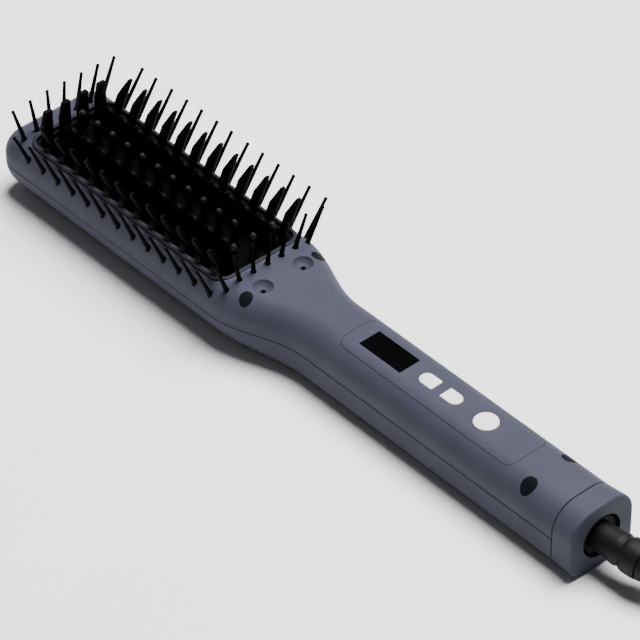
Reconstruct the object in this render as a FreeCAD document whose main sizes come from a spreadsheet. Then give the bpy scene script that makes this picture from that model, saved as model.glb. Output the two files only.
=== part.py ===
"""Heated hair straightening brush with two ion outlets, three buttons, a display and a swivel cord.

The brush lies on its back: +X runs from the tip of the head to the cord end, +Y across, +Z towards
the bristles.  The row's origin is under the middle of the housing, on the surface it lies on.
Stations along the brush are written from the tip of the head and shifted by half its length.
"""
import FreeCAD, Part
import math
import os
import re

import Sketcher
from FreeCAD import Placement, Rotation, Vector

SIZES = {
    # stations along the brush, from the tip of the head
    "bed_start": 10.4,
    "bed_length": 95.2,
    "neck_overlap": 1.6,
    "neck_length": 34.0,
    "panel_lead": 11.0,
    "panel_length": 76.0,
    "tail_run": 22.5,
    "cap_length": 8.5,
    # housing
    "housing_height": 23.5,
    "head_width": 42.0,
    "handle_width": 24.8,
    "wall": 2.0,
    "nose_radius": 6.5,
    "shoulder_radius": 8.0,
    "belly_radius": 13.0,
    "grip_radius": 9.0,
    "grip_low_radius": 6.5,
    "parting_height": 12.0,
    # end cap and cord outlet
    "cap_flare": 0.5,
    "cap_wall": 2.2,
    "cap_edge_radius": 0.8,
    "cap_face_thickness": 3.4,
    "outlet_radius": 7.6,
    # general clearances
    "seam_gap": 0.15,
    "running_gap": 0.3,
    "shaft_gap": 0.08,
    "thread_gap": 0.02,
    # brush bed
    "bed_margin": 4.0,
    "bed_corner": 5.0,
    "rim_width": 2.5,
    "rim_rise": 0.3,
    "rim_depth": 3.0,
    "frame_plate": 2.0,
    "frame_inset": 0.7,
    "frame_border": 5.2,
    "frame_tip_border": 4.8,
    "frame_neck_border": 2.7,
    "comb_flange": 2.2,
    "comb_flange_ledge": 2.0,
    "comb_rise": 0.5,
    "slot_gap": 0.3,
    # teeth
    "tooth_pitch": 7.38,
    "tooth_lead": 8.2,
    "tooth_radius": 1.35,
    "tooth_height": 8.6,
    "tooth_taper": 3.0,
    "tip_radius": 1.15,
    "tip_height": 2.0,
    "cross_tooth_gap": 8.7,
    "cross_tooth_inset": 2.8,
    "blade_inset": 3.2,
    "blade_length": 6.2,
    "blade_thickness": 1.6,
    "blade_height": 10.1,
    "blade_round": 2.9,
    # slanted outer fins
    "fin_lead": 7.4,
    "fin_trail": 2.1,
    "fin_length": 3.5,
    "fin_thickness": 1.6,
    "fin_inset": 4.9,
    "fin_upright": 3.7,
    "fin_rise": 15.2,
    "fin_lean": 26.0,
    "fin_slope_drop": 5.6,
    "fin_flat": 1.2,
    "tip_fin_lead": 2.8,
    "tip_fin_inset": 5.9,
    "tip_fin_width": 4.2,
    "tip_fin_rise": 13.9,
    "tip_fin_flat": 3.0,
    # outer pins
    "pin_lead": 3.7,
    "pin_trail": 2.5,
    "pin_root_radius": 0.85,
    "pin_tip_radius": 0.6,
    "pin_gap": 0.2,
    "pin_row_inset": 3.6,
    "pin_row_depth": 8.9,
    "pin_length": 21.7,
    "pin_splay": 25.8,
    "pin_lean": 8.0,
    "rail_width": 2.6,
    "rail_height": 2.8,
    "end_pin_count": 7.0,
    "tip_row_gap": 2.1,
    "tip_row_inset": 6.0,
    "tip_row_depth": 4.9,
    "tip_row_lean": 4.0,
    "neck_row_gap": 1.6,
    "neck_row_inset": 6.3,
    "neck_row_depth": 6.5,
    "neck_row_lean": 6.0,
    "end_pin_rise": 19.8,
    "tip_row_fan": 0.34,
    "neck_row_fan": 0.42,
    "end_rail_width": 2.6,
    "end_rail_height": 1.3,
    # heater
    "heater_lead": 14.6,
    "heater_trail": 18.6,
    "heater_inset": 2.3,
    "heater_height": 3.1,
    "film_thickness": 0.3,
    "clamp_margin": 9.5,
    "clamp_thickness": 1.2,
    "clamp_leg": 5.0,
    "clamp_leg_width": 4.0,
    "clamp_screw_radius": 0.9,
    "clamp_screw_head": 1.6,
    "fuse_radius": 1.9,
    "fuse_length": 10.0,
    "fuse_lead": 15.0,
    "sensor_radius": 1.1,
    "sensor_length": 4.0,
    "sensor_lead": 37.0,
    "sensor_gap": 0.1,
    "side_part_gap": 0.4,
    "shield_lead": 3.6,
    "shield_trail": 7.6,
    "shield_inset": 4.5,
    "shield_drop": 2.5,
    "shield_thickness": 0.8,
    # ion generator
    "ion_lead": 6.4,
    "ion_length": 16.0,
    "ion_side_gap": 1.1,
    "ion_floor": 5.0,
    "outlet_lead": 9.6,
    "outlet_inset": 6.7,
    "scoop_radius": 3.7,
    "scoop_depth": 2.2,
    "scoop_boss_radius": 4.6,
    "scoop_boss_depth": 4.7,
    "nozzle_radius": 2.4,
    "nozzle_bore": 0.9,
    "needle_radius": 0.35,
    # ribs that carry what lies inside
    "rib_thickness": 2.0,
    "frame_rib_inset": 12.0,
    "frame_rib_length": 6.0,
    "frame_rib_edge": 1.55,
    "tip_rib_width": 8.0,
    "shield_rib_inset": 14.0,
    "shield_rib_width": 16.0,
    "ion_rib_inset": 4.5,
    "ion_rib_width": 10.0,
    "board_rib_inset": 5.5,
    "board_rib_width": 12.0,
    # housing screws
    "head_screw_lead": 9.2,
    "head_screw_inset": 6.0,
    "tail_screw_lead": 8.5,
    "tail_screw_inset": 3.9,
    "screw_boss_radius": 3.4,
    "head_well_gap": 0.2,
    "tail_well_gap": 0.6,
    "plug_gap": 0.05,
    "screw_well_depth": 7.5,
    "screw_head_radius": 2.0,
    "screw_head_height": 1.6,
    "screw_radius": 1.1,
    "screw_bite": 5.0,
    # control panel
    "panel_margin": 4.4,
    "panel_corner": 3.0,
    "panel_tab": 1.5,
    "panel_tab_width": 8.0,
    "panel_tab_thickness": 1.0,
    "window_lead": 5.8,
    "window_length": 18.0,
    "window_width": 8.2,
    "window_thickness": 1.2,
    "window_ledge": 1.1,
    "lcd_margin": 2.0,
    "lcd_width": 13.0,
    "lcd_gap": 0.9,
    # buttons
    "window_key_gap": 5.2,
    "key_gap": 3.6,
    "power_gap": 7.0,
    "button_length": 6.8,
    "button_width": 5.3,
    "button_round": 2.5,
    "button_corner": 0.5,
    "power_radius": 4.1,
    "power_flat": 0.1,
    "button_rise": 0.5,
    "button_gap": 0.2,
    "button_flange": 0.7,
    "flange_thickness": 0.8,
    "flange_gap": 0.3,
    "stem_radius": 1.3,
    "plunger_radius": 1.7,
    "plunger_height": 2.1,
    "plunger_rise": 1.0,
    "switch_size": 6.0,
    "switch_height": 3.5,
    "switch_bore_depth": 1.9,
    # main board
    "board_lead": 3.0,
    "board_post_gap": 1.1,
    "board_side_gap": 1.8,
    "board_depth": 8.1,
    "board_thickness": 1.6,
    # swivel
    "hub_flange_gap": 0.55,
    "hub_flange": 2.6,
    "hub_tail_radius": 3.2,
    "hub_tail_length": 11.2,
    "hub_nose_chamfer": 0.8,
    "hub_recess": 0.8,
    "retainer_thickness": 1.8,
    "ring_radius": 3.9,
    "ring_width": 1.4,
    "ring_pitch": 4.0,
    "contact_gap": 0.1,
    "contact_thickness": 0.55,
    "contact_width": 3.0,
    "block_side_gap": 0.5,
    "block_wall": 1.6,
    "block_lip": 0.6,
    # wires inside
    "wire_radius": 0.8,
    "heater_wire_inset": 3.3,
    "heater_wire_run": 20.0,
    "board_wire_offset": 3.0,
    "board_wire_run": 18.0,
    # cord
    "guard_root_radius": 4.7,
    "guard_belly_radius": 6.0,
    "guard_tip_radius": 3.5,
    "guard_lead": 1.5,
    "guard_bend_radius": 60.0,
    "guard_bend": 14.0,
    "guard_dip": 20.0,
    "guard_tail": 16.0,
    "cord_radius": 3.0,
    "coil_outer_radius": 40.2,
    "coil_inner_radius": 21.2,
    "coil_height": 24.0,
    "coil_x": 218.0,
    "coil_y": 0.0,
    "plug_length": 30.0,
    "plug_width": 24.0,
    "plug_height": 15.0,
    "plug_corner": 5.0,
    "plug_edge": 2.0,
    "plug_x": 243.13,
    "plug_y": 14.06,
    "plug_turn": -81.1,
    "blade_pin_length": 17.0,
    "blade_pin_width": 6.2,
    "blade_pin_thickness": 1.5,
    "blade_pin_spacing": 12.7,
}

# Free stretches of the cord, millimetres in the row's own frame.
CORD_LEAD_POINTS = [(161.0, 5.8, 9.6), (177.6, 9.7, 8.0), (187.9, 21.6, 3.2)]
CORD_TAIL_POINTS = [(182.6, 12.5, 21.0), (187.1, 22.6, 22.4), (202.5, 35.0, 26.6), (223.3, 38.3, 29.6),
                    (241.4, 25.1, 31.5)]

NECK_STEPS = 5
BED_END = "(bed_start + bed_length)"
NECK_START = f"({BED_END} - neck_overlap)"
NECK_END = f"({NECK_START} + neck_length)"
PANEL_START = f"({NECK_END} + panel_lead)"
PANEL_END = f"({PANEL_START} + panel_length)"
CAP_START = f"({PANEL_END} + tail_run)"
LENGTH = f"({CAP_START} + cap_length)"
ORIGIN_SHIFT = f"({LENGTH} / 2)"

doc = FreeCAD.newDocument("straightening_brush")
sheet = doc.addObject("Spreadsheet::Sheet", "Sizes")
for row, (alias, size) in enumerate(SIZES.items(), start=1):
    sheet.set(f"A{row}", alias)
    sheet.set(f"B{row}", str(size))
    sheet.setAlias(f"B{row}", alias)
doc.recompute()

ALIAS = re.compile(r"\b(" + "|".join(sorted(SIZES, key=len, reverse=True)) + r")\b")
subparts = []


# ---------------------------------------------------------------- sizes and expressions
def sized(text):
    """Turn plain size words into references to the spreadsheet."""
    return ALIAS.sub(r"Sizes.\1", str(text))


def value(text):
    """Number that an expression of size words gives now."""
    return float(sheet.evalExpression(sized(text)))


def bind(item, links):
    """Bind properties of a document object to expressions."""
    for name, text in links.items():
        item.setExpression(name, sized(text))
    return item


def subpart(item):
    """List an object as one of the brush's own pieces."""
    subparts.append(item)
    return item


def named(kind, label):
    """Add a document object of a kind with its label."""
    item = doc.addObject(kind, label)
    item.Label = label
    return item


# ---------------------------------------------------------------- primitives and booleans
def box(label, span_x, span_y, span_z):
    """Block between pairs of stations along X, Y and Z."""
    item = named("Part::Box", label)
    return bind(item, {
        "Length": f"({span_x[1]}) - ({span_x[0]})",
        "Width": f"({span_y[1]}) - ({span_y[0]})",
        "Height": f"({span_z[1]}) - ({span_z[0]})",
        "Placement.Base.x": f"({span_x[0]}) - {ORIGIN_SHIFT}",
        "Placement.Base.y": span_y[0],
        "Placement.Base.z": span_z[0],
    })


def even(half):
    """Span from minus to plus a half size."""
    return f"-({half})", half


def about(middle, size):
    """Span of a full size about a middle."""
    return f"{middle} - {size} / 2", f"{middle} + {size} / 2"


def rod(label, radius, foot, length, along="z"):
    """Cylinder from a foot point along one of the axes."""
    item = named("Part::Cylinder", label)
    turns = {"z": Rotation(), "x": Rotation(Vector(0, 1, 0), 90)}
    item.Placement = Placement(Vector(), turns[along])
    return bind(item, {
        "Radius": radius,
        "Height": length,
        "Placement.Base.x": f"({foot[0]}) - {ORIGIN_SHIFT}",
        "Placement.Base.y": foot[1],
        "Placement.Base.z": foot[2],
    })


def lean(item, foot, slope_x, slope_y):
    """Place an upright primitive at a foot point and tilt it by slopes along X and Y."""
    return bind(item, {
        "Placement.Base.x": f"({foot[0]}) - {ORIGIN_SHIFT}",
        "Placement.Base.y": foot[1],
        "Placement.Base.z": foot[2],
        "Placement.Rotation.Axis.x": f"-1 * ({slope_y})",
        "Placement.Rotation.Axis.y": slope_x,
        "Placement.Rotation.Axis.z": "0",
        "Placement.Rotation.Angle": f"atan(sqrt(({slope_x}) ^ 2 + ({slope_y}) ^ 2))",
    })


def join(label, items):
    """Fuse several solids."""
    fused = named("Part::MultiFuse", label)
    fused.Shapes = items
    fused.Refine = False
    return fused


def cut(label, base, tool):
    """Base with the tool taken away."""
    item = named("Part::Cut", label)
    item.Base = base
    item.Tool = tool
    return item


def overlap(label, first, second):
    """Space that two solids share."""
    item = named("Part::Common", label)
    item.Base = first
    item.Tool = second
    return item


# ---------------------------------------------------------------- bodies, sketches and features
def body(label):
    """PartDesign body whose sketches are drawn from the tip of the head."""
    item = named("PartDesign::Body", label)
    return bind(item, {"Placement.Base.x": f"-({ORIGIN_SHIFT})"})


def solid_row(label):
    """Body that may hold several loose solids."""
    item = body(label)
    item.AllowCompound = True
    return item


def sketch(owner, name, role, offset):
    """Sketch on an origin plane of its own body, moved along the plane's normal."""
    item = owner.newObject("Sketcher::SketchObject", name)
    plane = next(flat for flat in owner.Origin.OriginFeatures if flat.Role == role)
    item.AttachmentSupport = [(plane, "")]
    item.MapMode = "FlatFace"
    return bind(item, {"AttachmentOffset.Base.z": offset})


def dimension(item, kind, where, text):
    """Driving constraint bound to an expression."""
    index = item.addConstraint(Sketcher.Constraint(kind, *where, value(text)))
    item.setExpression(f"Constraints[{index}]", sized(text))


def rounded(item, span_x, span_y, radii):
    """Closed rectangle with arcs at its corners, radii from low left and round anticlockwise."""
    low_x, high_x = (value(text) for text in span_x)
    low_y, high_y = (value(text) for text in span_y)
    first = item.GeometryCount
    size = [value(radius) for radius in radii]
    corners = [(low_x, low_y, 1, 1), (high_x, low_y, -1, 1), (high_x, high_y, -1, -1), (low_x, high_y, 1, -1)]
    centres = [Vector(x + side * r, y + up * r, 0) for (x, y, side, up), r in zip(corners, size)]
    starts = [Vector(0, -1, 0), Vector(1, 0, 0), Vector(0, 1, 0), Vector(-1, 0, 0)]
    for turn in range(4):
        following = (turn + 1) % 4
        head = centres[turn] + starts[turn] * size[turn]
        tail = centres[following] + starts[turn] * size[following]
        item.addGeometry(Part.LineSegment(head, tail), False)
        circle = Part.Circle(centres[following], Vector(0, 0, 1), size[following])
        start = math.radians(90 * turn - 90)
        item.addGeometry(Part.ArcOfCircle(circle, start, start + math.pi / 2), False)
    for edge in range(8):
        item.addConstraint(Sketcher.Constraint("Tangent", first + edge, 2, first + (edge + 1) % 8, 1))
    for edge, kind in ((0, "Horizontal"), (2, "Vertical"), (4, "Horizontal"), (6, "Vertical")):
        item.addConstraint(Sketcher.Constraint(kind, first + edge))
    dimension(item, "DistanceY", (-1, 1, first, 1), span_y[0])
    dimension(item, "DistanceX", (-1, 1, first + 2, 1), span_x[1])
    dimension(item, "DistanceY", (-1, 1, first + 4, 1), span_y[1])
    dimension(item, "DistanceX", (-1, 1, first + 6, 1), span_x[0])
    for corner, arc in ((1, 1), (2, 3), (3, 5), (0, 7)):
        dimension(item, "Radius", (first + arc,), radii[corner])
    return item


def outline(item, points):
    """Closed polygon through points given as pairs of expressions."""
    first = item.GeometryCount
    places = [Vector(value(x), value(y), 0) for x, y in points]
    count = len(points)
    for index in range(count):
        item.addGeometry(Part.LineSegment(places[index], places[(index + 1) % count]), False)
    for index in range(count):
        following = first + (index + 1) % count
        item.addConstraint(Sketcher.Constraint("Coincident", first + index, 2, following, 1))
    for index, (x, y) in enumerate(points):
        dimension(item, "DistanceX", (-1, 1, first + index, 1), x)
        dimension(item, "DistanceY", (-1, 1, first + index, 1), y)
    return item


def disc(item, centre, radius):
    """Circle in a sketch."""
    first = item.GeometryCount
    place = Vector(value(centre[0]), value(centre[1]), 0)
    item.addGeometry(Part.Circle(place, Vector(0, 0, 1), value(radius)), False)
    dimension(item, "DistanceX", (-1, 1, first, 3), centre[0])
    dimension(item, "DistanceY", (-1, 1, first, 3), centre[1])
    dimension(item, "Radius", (first,), radius)
    return item


def pad(owner, name, profile, length, taper=None):
    """Extrude a sketch along its plane's normal."""
    item = owner.newObject("PartDesign::Pad", name)
    item.Profile = profile
    links = {"Length": length}
    if taper:
        links["TaperAngle"] = f"-({taper})"
    return bind(item, links)


def pocket(owner, name, profile, length):
    """Cut a sketch along its plane's normal."""
    item = owner.newObject("PartDesign::Pocket", name)
    item.Profile = profile
    item.Reversed = True
    return bind(item, {"Length": length})


def round_edges(owner, name, radius, wanted):
    """Fillet the edges of a body's last feature that a test picks."""
    doc.recompute()
    last = owner.Tip
    names = [f"Edge{index}" for index, edge in enumerate(last.Shape.Edges, start=1) if wanted(edge)]
    item = owner.newObject("PartDesign::Fillet", name)
    item.Base = (last, names)
    return bind(item, {"Radius": radius})


def flat_at(station):
    """Test for edges that lie in the plane at a station along X of the body."""
    place = value(station)
    return lambda edge: abs(edge.BoundBox.XMin - place) + abs(edge.BoundBox.XMax - place) < 1e-3


def row_of(owner, name, features, count, pitch):
    """Repeat features along X and make the row the body's result."""
    item = owner.newObject("PartDesign::LinearPattern", name)
    item.Originals = features
    along = next(line for line in owner.Origin.OriginFeatures if line.Role == "X_Axis")
    item.Direction = (along, [""])
    item.Mode = "Spacing"
    bind(item, {"Occurrences": count, "Offset": pitch})
    owner.Tip = item
    return item


# ---------------------------------------------------------------- outer form of the housing
def housing_section(owner, name, station, share, inset):
    """Cross-section of the housing: share is 1 in the head and 0 in the handle."""
    half = f"handle_width / 2 + (head_width - handle_width) / 2 * {share} - ({inset})"
    top = f"grip_radius + (shoulder_radius - grip_radius) * {share} - ({inset})"
    low = f"grip_low_radius + (belly_radius - grip_low_radius) * {share} - ({inset})"
    item = sketch(owner, name, "YZ_Plane", station)
    return rounded(item, even(half), (inset, f"housing_height - ({inset})"), (low, low, top, top))


def housing_form(label, inset, run_out):
    """Solid of the housing's outside, shrunk by an inset, run past its tail by a run-out."""
    form = body(label)
    nose = housing_section(form, f"{label}_nose", inset, 1, inset)
    pad(form, f"{label}_head", nose, f"{NECK_START} - ({inset})")
    shares = [f"((1 + cos({180 * step / NECK_STEPS})) / 2)" for step in range(1, NECK_STEPS)]
    sections = [housing_section(form, f"{label}_neck_0", NECK_START, 1, inset)]
    for step, share in enumerate(shares, start=1):
        station = f"{NECK_START} + neck_length * {step} / {NECK_STEPS}"
        sections.append(housing_section(form, f"{label}_neck_{step}", station, share, inset))
    sections.append(housing_section(form, f"{label}_neck_{NECK_STEPS}", NECK_END, 0, inset))
    neck = form.newObject("PartDesign::AdditiveLoft", f"{label}_neck")
    neck.Profile = sections[0]
    neck.Sections = sections[1:]
    grip = housing_section(form, f"{label}_grip", NECK_END, 0, inset)
    pad(form, f"{label}_handle", grip, f"{CAP_START} - {NECK_END} + ({run_out})")
    round_edges(form, f"{label}_round", f"nose_radius - ({inset})", flat_at(inset))
    return form


OUTER = housing_form("outer_form", "0", "0")
INNER = housing_form("inner_form", "wall", "wall")

AXIS_HEIGHT = "(housing_height / 2)"
ROOF = "(housing_height - wall)"
HUB_FACE = f"({LENGTH} - hub_recess)"

BED_HALF = "(head_width / 2 - bed_margin)"
FRAME_HALF = f"({BED_HALF} - frame_inset)"
FRAME_TOP = "(housing_height - rim_depth)"
FRAME_FLOOR = f"({FRAME_TOP} - frame_plate)"
FIN_TOP = f"({FRAME_TOP} + fin_rise)"
TIP_FIN_TOP = f"({FRAME_TOP} + tip_fin_rise)"

COMB_DECK = f"({FRAME_TOP} + comb_rise)"
COMB_HALF = f"({FRAME_HALF} - frame_border - slot_gap)"
COMB_END = f"({BED_END} - frame_neck_border - slot_gap)"
FIRST_TOOTH = "(bed_start + tooth_lead)"
TOOTH_COUNT = f"(floor(({COMB_END} - tooth_radius - cross_tooth_gap - {FIRST_TOOTH}) / tooth_pitch) + 1)"
CROSS_STATION = f"({FIRST_TOOTH} + ({TOOTH_COUNT} - 1) * tooth_pitch + cross_tooth_gap)"

HEATER_TOP = f"({FRAME_FLOOR} - comb_flange)"
HEATER_FLOOR = f"({HEATER_TOP} - heater_height)"
HEATER_HALF = f"({COMB_HALF} - heater_inset)"
HEATER_START = "(bed_start + heater_lead)"
HEATER_END = f"({BED_END} - heater_trail)"
SHIELD_TOP = f"({HEATER_FLOOR} - clamp_thickness * 2 - shield_drop)"
SHIELD_FLOOR = f"({SHIELD_TOP} - shield_thickness)"

PIN_ROW_OFFSET = "(head_width / 2 - pin_row_inset)"
PIN_ROW_HEIGHT = "(housing_height - pin_row_depth)"
FIRST_PIN = "(bed_start + pin_lead)"
PIN_COUNT = "(floor((bed_length - pin_lead - pin_trail) / tooth_pitch) + 1)"
END_ROWS = {
    "tip_pins": ("tip_row", "(bed_start - tip_row_gap)", "(housing_height - tip_row_depth)"),
    "neck_pins": ("neck_row", f"({BED_END} + neck_row_gap)", "(housing_height - neck_row_depth)"),
}

HEAD_SCREW_OFFSET = "(head_width / 2 - head_screw_inset)"
TAIL_SCREW_OFFSET = "(handle_width / 2 - tail_screw_inset)"
TAIL_SCREW_STATION = f"({PANEL_END} + tail_screw_lead)"
SCREW_SEAT = "(housing_height - screw_well_depth)"
SCREW_FOOT = "(parting_height - screw_bite)"
SCREW_PLACES = [
    (station, f"{side} * {offset}", radius)
    for station, offset, radius in (
        (f"({BED_END} + head_screw_lead)", HEAD_SCREW_OFFSET, "(screw_head_radius + head_well_gap)"),
        (TAIL_SCREW_STATION, TAIL_SCREW_OFFSET, "(screw_head_radius + tail_well_gap)"),
    )
    for side in (-1, 1)
]

OUTLET_STATION = f"({BED_END} + outlet_lead)"
OUTLET_OFFSET = f"({HEAD_SCREW_OFFSET} - outlet_inset)"

PANEL_HALF = "(handle_width / 2 - panel_margin)"
WINDOW_START = f"({PANEL_START} + window_lead)"
WINDOW_END = f"({WINDOW_START} + window_length)"
MINUS_STATION = f"({WINDOW_END} + window_key_gap + button_length / 2)"
PLUS_STATION = f"({MINUS_STATION} + button_length + key_gap)"
POWER_STATION = f"({PLUS_STATION} + button_length / 2 + power_gap + power_radius)"
BOARD_START = f"({PANEL_START} - board_lead)"
BOARD_END = f"({TAIL_SCREW_STATION} - screw_boss_radius - board_post_gap)"
BOARD_TOP = f"({ROOF} - board_depth)"
BOARD_FLOOR = f"({BOARD_TOP} - board_thickness)"
BOARD_MIDDLE = f"({BOARD_TOP} - board_thickness / 2)"
SWITCH_TOP = f"({BOARD_TOP} + switch_height)"
PLUNGER_TOP = f"({SWITCH_TOP} + plunger_rise)"
FLANGE_TOP = f"({ROOF} - flange_gap)"
ION_START = f"({BED_END} + ion_lead)"
ION_END = f"({ION_START} + ion_length)"
ION_TOP = f"({BOARD_MIDDLE} - wire_radius - running_gap)"


# ---------------------------------------------------------------- outer pins on their rails
def pin_places():
    """Rail name, foot point and slopes of every outer pin."""
    places = []
    splay = "tan(pin_splay)"
    for side, name in ((-1, "near_pins"), (1, "far_pins")):
        for index in range(int(value(PIN_COUNT))):
            foot = (f"{FIRST_PIN} + {index} * tooth_pitch", f"{side} * {PIN_ROW_OFFSET}", PIN_ROW_HEIGHT)
            places.append((name, foot, "tan(pin_lean)", f"{side} * {splay}"))
    middle = (int(value("end_pin_count")) - 1) / 2
    for name, (row, station, height) in END_ROWS.items():
        for index in range(int(value("end_pin_count"))):
            share = (index - middle) / middle
            foot = (station, f"{share} * (head_width / 2 - {row}_inset)", height)
            places.append((name, foot, f"tan({row}_lean)", f"{share} * {row}_fan"))
    return places


PINS = pin_places()


def pin_height(name):
    """Length of a pin along its own axis."""
    return "pin_length" if name in ("near_pins", "far_pins") else "end_pin_rise"


def make_pin_rails():
    """Four nylon rails, each moulded in one with its tapered pins."""
    rails = {}
    row_end = f"{FIRST_PIN} + ({PIN_COUNT} - 1) * tooth_pitch + rail_width / 2"
    row_span = (f"{FIRST_PIN} - rail_width / 2", row_end)
    for side, name in ((-1, "near_pins"), (1, "far_pins")):
        rails[name] = box(f"{name}_rail", row_span, about(f"{side} * {PIN_ROW_OFFSET}", "rail_width"),
                          about(PIN_ROW_HEIGHT, "rail_height"))
    for name, (row, station, height) in END_ROWS.items():
        reach = f"head_width / 2 - {row}_inset + pin_root_radius"
        rails[name] = box(f"{name}_rail", about(station, "end_rail_width"), even(reach),
                          about(height, "end_rail_height"))
    for name, rail in rails.items():
        pins = []
        for index, (owner, foot, slope_x, slope_y) in enumerate(PINS):
            if owner == name:
                pin = named("Part::Cone", f"{name}_{index}")
                bind(pin, {"Radius1": "pin_root_radius", "Radius2": "pin_tip_radius",
                           "Height": pin_height(name)})
                pins.append(lean(pin, foot, slope_x, slope_y))
        subpart(join(name, [rail] + pins))


def pin_holes():
    """Clearance holes in the upper housing, one round each outer pin."""
    holes = []
    for index, (name, foot, slope_x, slope_y) in enumerate(PINS):
        hole = named("Part::Cylinder", f"pin_hole_{index}")
        bind(hole, {"Radius": "pin_root_radius + pin_gap", "Height": pin_height(name)})
        holes.append(lean(hole, foot, slope_x, slope_y))
    return holes


# ---------------------------------------------------------------- housing shells
def bed_opening(name, gap, floor, height):
    """Upright prism of the brush bed's outline, grown by a gap."""
    form = body(name)
    plan = sketch(form, f"{name}_plan", "XY_Plane", floor)
    half = f"{BED_HALF} + ({gap})"
    span = (f"bed_start - ({gap})", f"{BED_END} + ({gap})")
    rounded(plan, span, even(half), [f"bed_corner + ({gap})"] * 4)
    pad(form, f"{name}_pad", plan, height)
    return form


def panel_prism(name, gap, floor, height):
    """Upright prism of the control panel's outline, grown by a gap."""
    form = body(name)
    plan = sketch(form, f"{name}_plan", "XY_Plane", floor)
    span = (f"{PANEL_START} - ({gap})", f"{PANEL_END} + ({gap})")
    rounded(plan, span, even(f"{PANEL_HALF} + ({gap})"), [f"panel_corner + ({gap})"] * 4)
    pad(form, f"{name}_pad", plan, height)
    return form


def scoops():
    """Two shallow bowls on the neck with the ion outlets in their floors."""
    tools = []
    for side, word in ((-1, "near"), (1, "far")):
        bowl = named("Part::Sphere", f"{word}_scoop_bowl")
        bind(bowl, {
            "Radius": "scoop_radius",
            "Placement.Base.x": f"{OUTLET_STATION} - {ORIGIN_SHIFT}",
            "Placement.Base.y": f"{side} * {OUTLET_OFFSET}",
            "Placement.Base.z": "housing_height - scoop_depth + scoop_radius",
        })
        foot = (OUTLET_STATION, f"{side} * {OUTLET_OFFSET}", "housing_height - scoop_boss_depth - wall")
        hole = rod(f"{word}_outlet_hole", "nozzle_bore", foot, "scoop_boss_depth + wall")
        tools += [bowl, hole]
    return tools


def make_upper_housing():
    """Top shell with the bed and panel openings, screw wells, scoops and pin holes."""
    shell = cut("housing_shell", OUTER, INNER)
    span = ("-wall", LENGTH)
    top = box("upper_half", span, even("head_width"), ("parting_height", "housing_height + wall"))
    upper = overlap("upper_shell", shell, top)
    bosses = []
    for index, (station, offset, _) in enumerate(SCREW_PLACES):
        foot = (station, offset, "parting_height")
        rise = "housing_height - parting_height"
        bosses.append(rod(f"upper_boss_{index}", "screw_boss_radius", foot, rise))
    for side, word in ((-1, "near"), (1, "far")):
        foot = (OUTLET_STATION, f"{side} * {OUTLET_OFFSET}", "housing_height - scoop_boss_depth")
        bosses.append(rod(f"{word}_scoop_boss", "scoop_boss_radius", foot, "scoop_boss_depth"))
    trimmed = overlap("upper_bosses", join("boss_group", bosses), OUTER)
    solid = join("upper_solid", [upper, trimmed])
    tools = [bed_opening("bed_hole", "seam_gap", "parting_height", "housing_height")]
    tools.append(panel_prism("panel_hole", "seam_gap", "parting_height", "housing_height"))
    for index, (station, offset, radius) in enumerate(SCREW_PLACES):
        well = (station, offset, SCREW_SEAT)
        tools.append(rod(f"screw_well_{index}", radius, well, "housing_height"))
        foot = (station, offset, "parting_height - wall")
        tools.append(rod(f"screw_way_{index}", "screw_radius + shaft_gap", foot, "housing_height / 2"))
    tools += scoops() + pin_holes()
    subpart(cut("upper_housing", solid, join("upper_openings", tools)))


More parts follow.
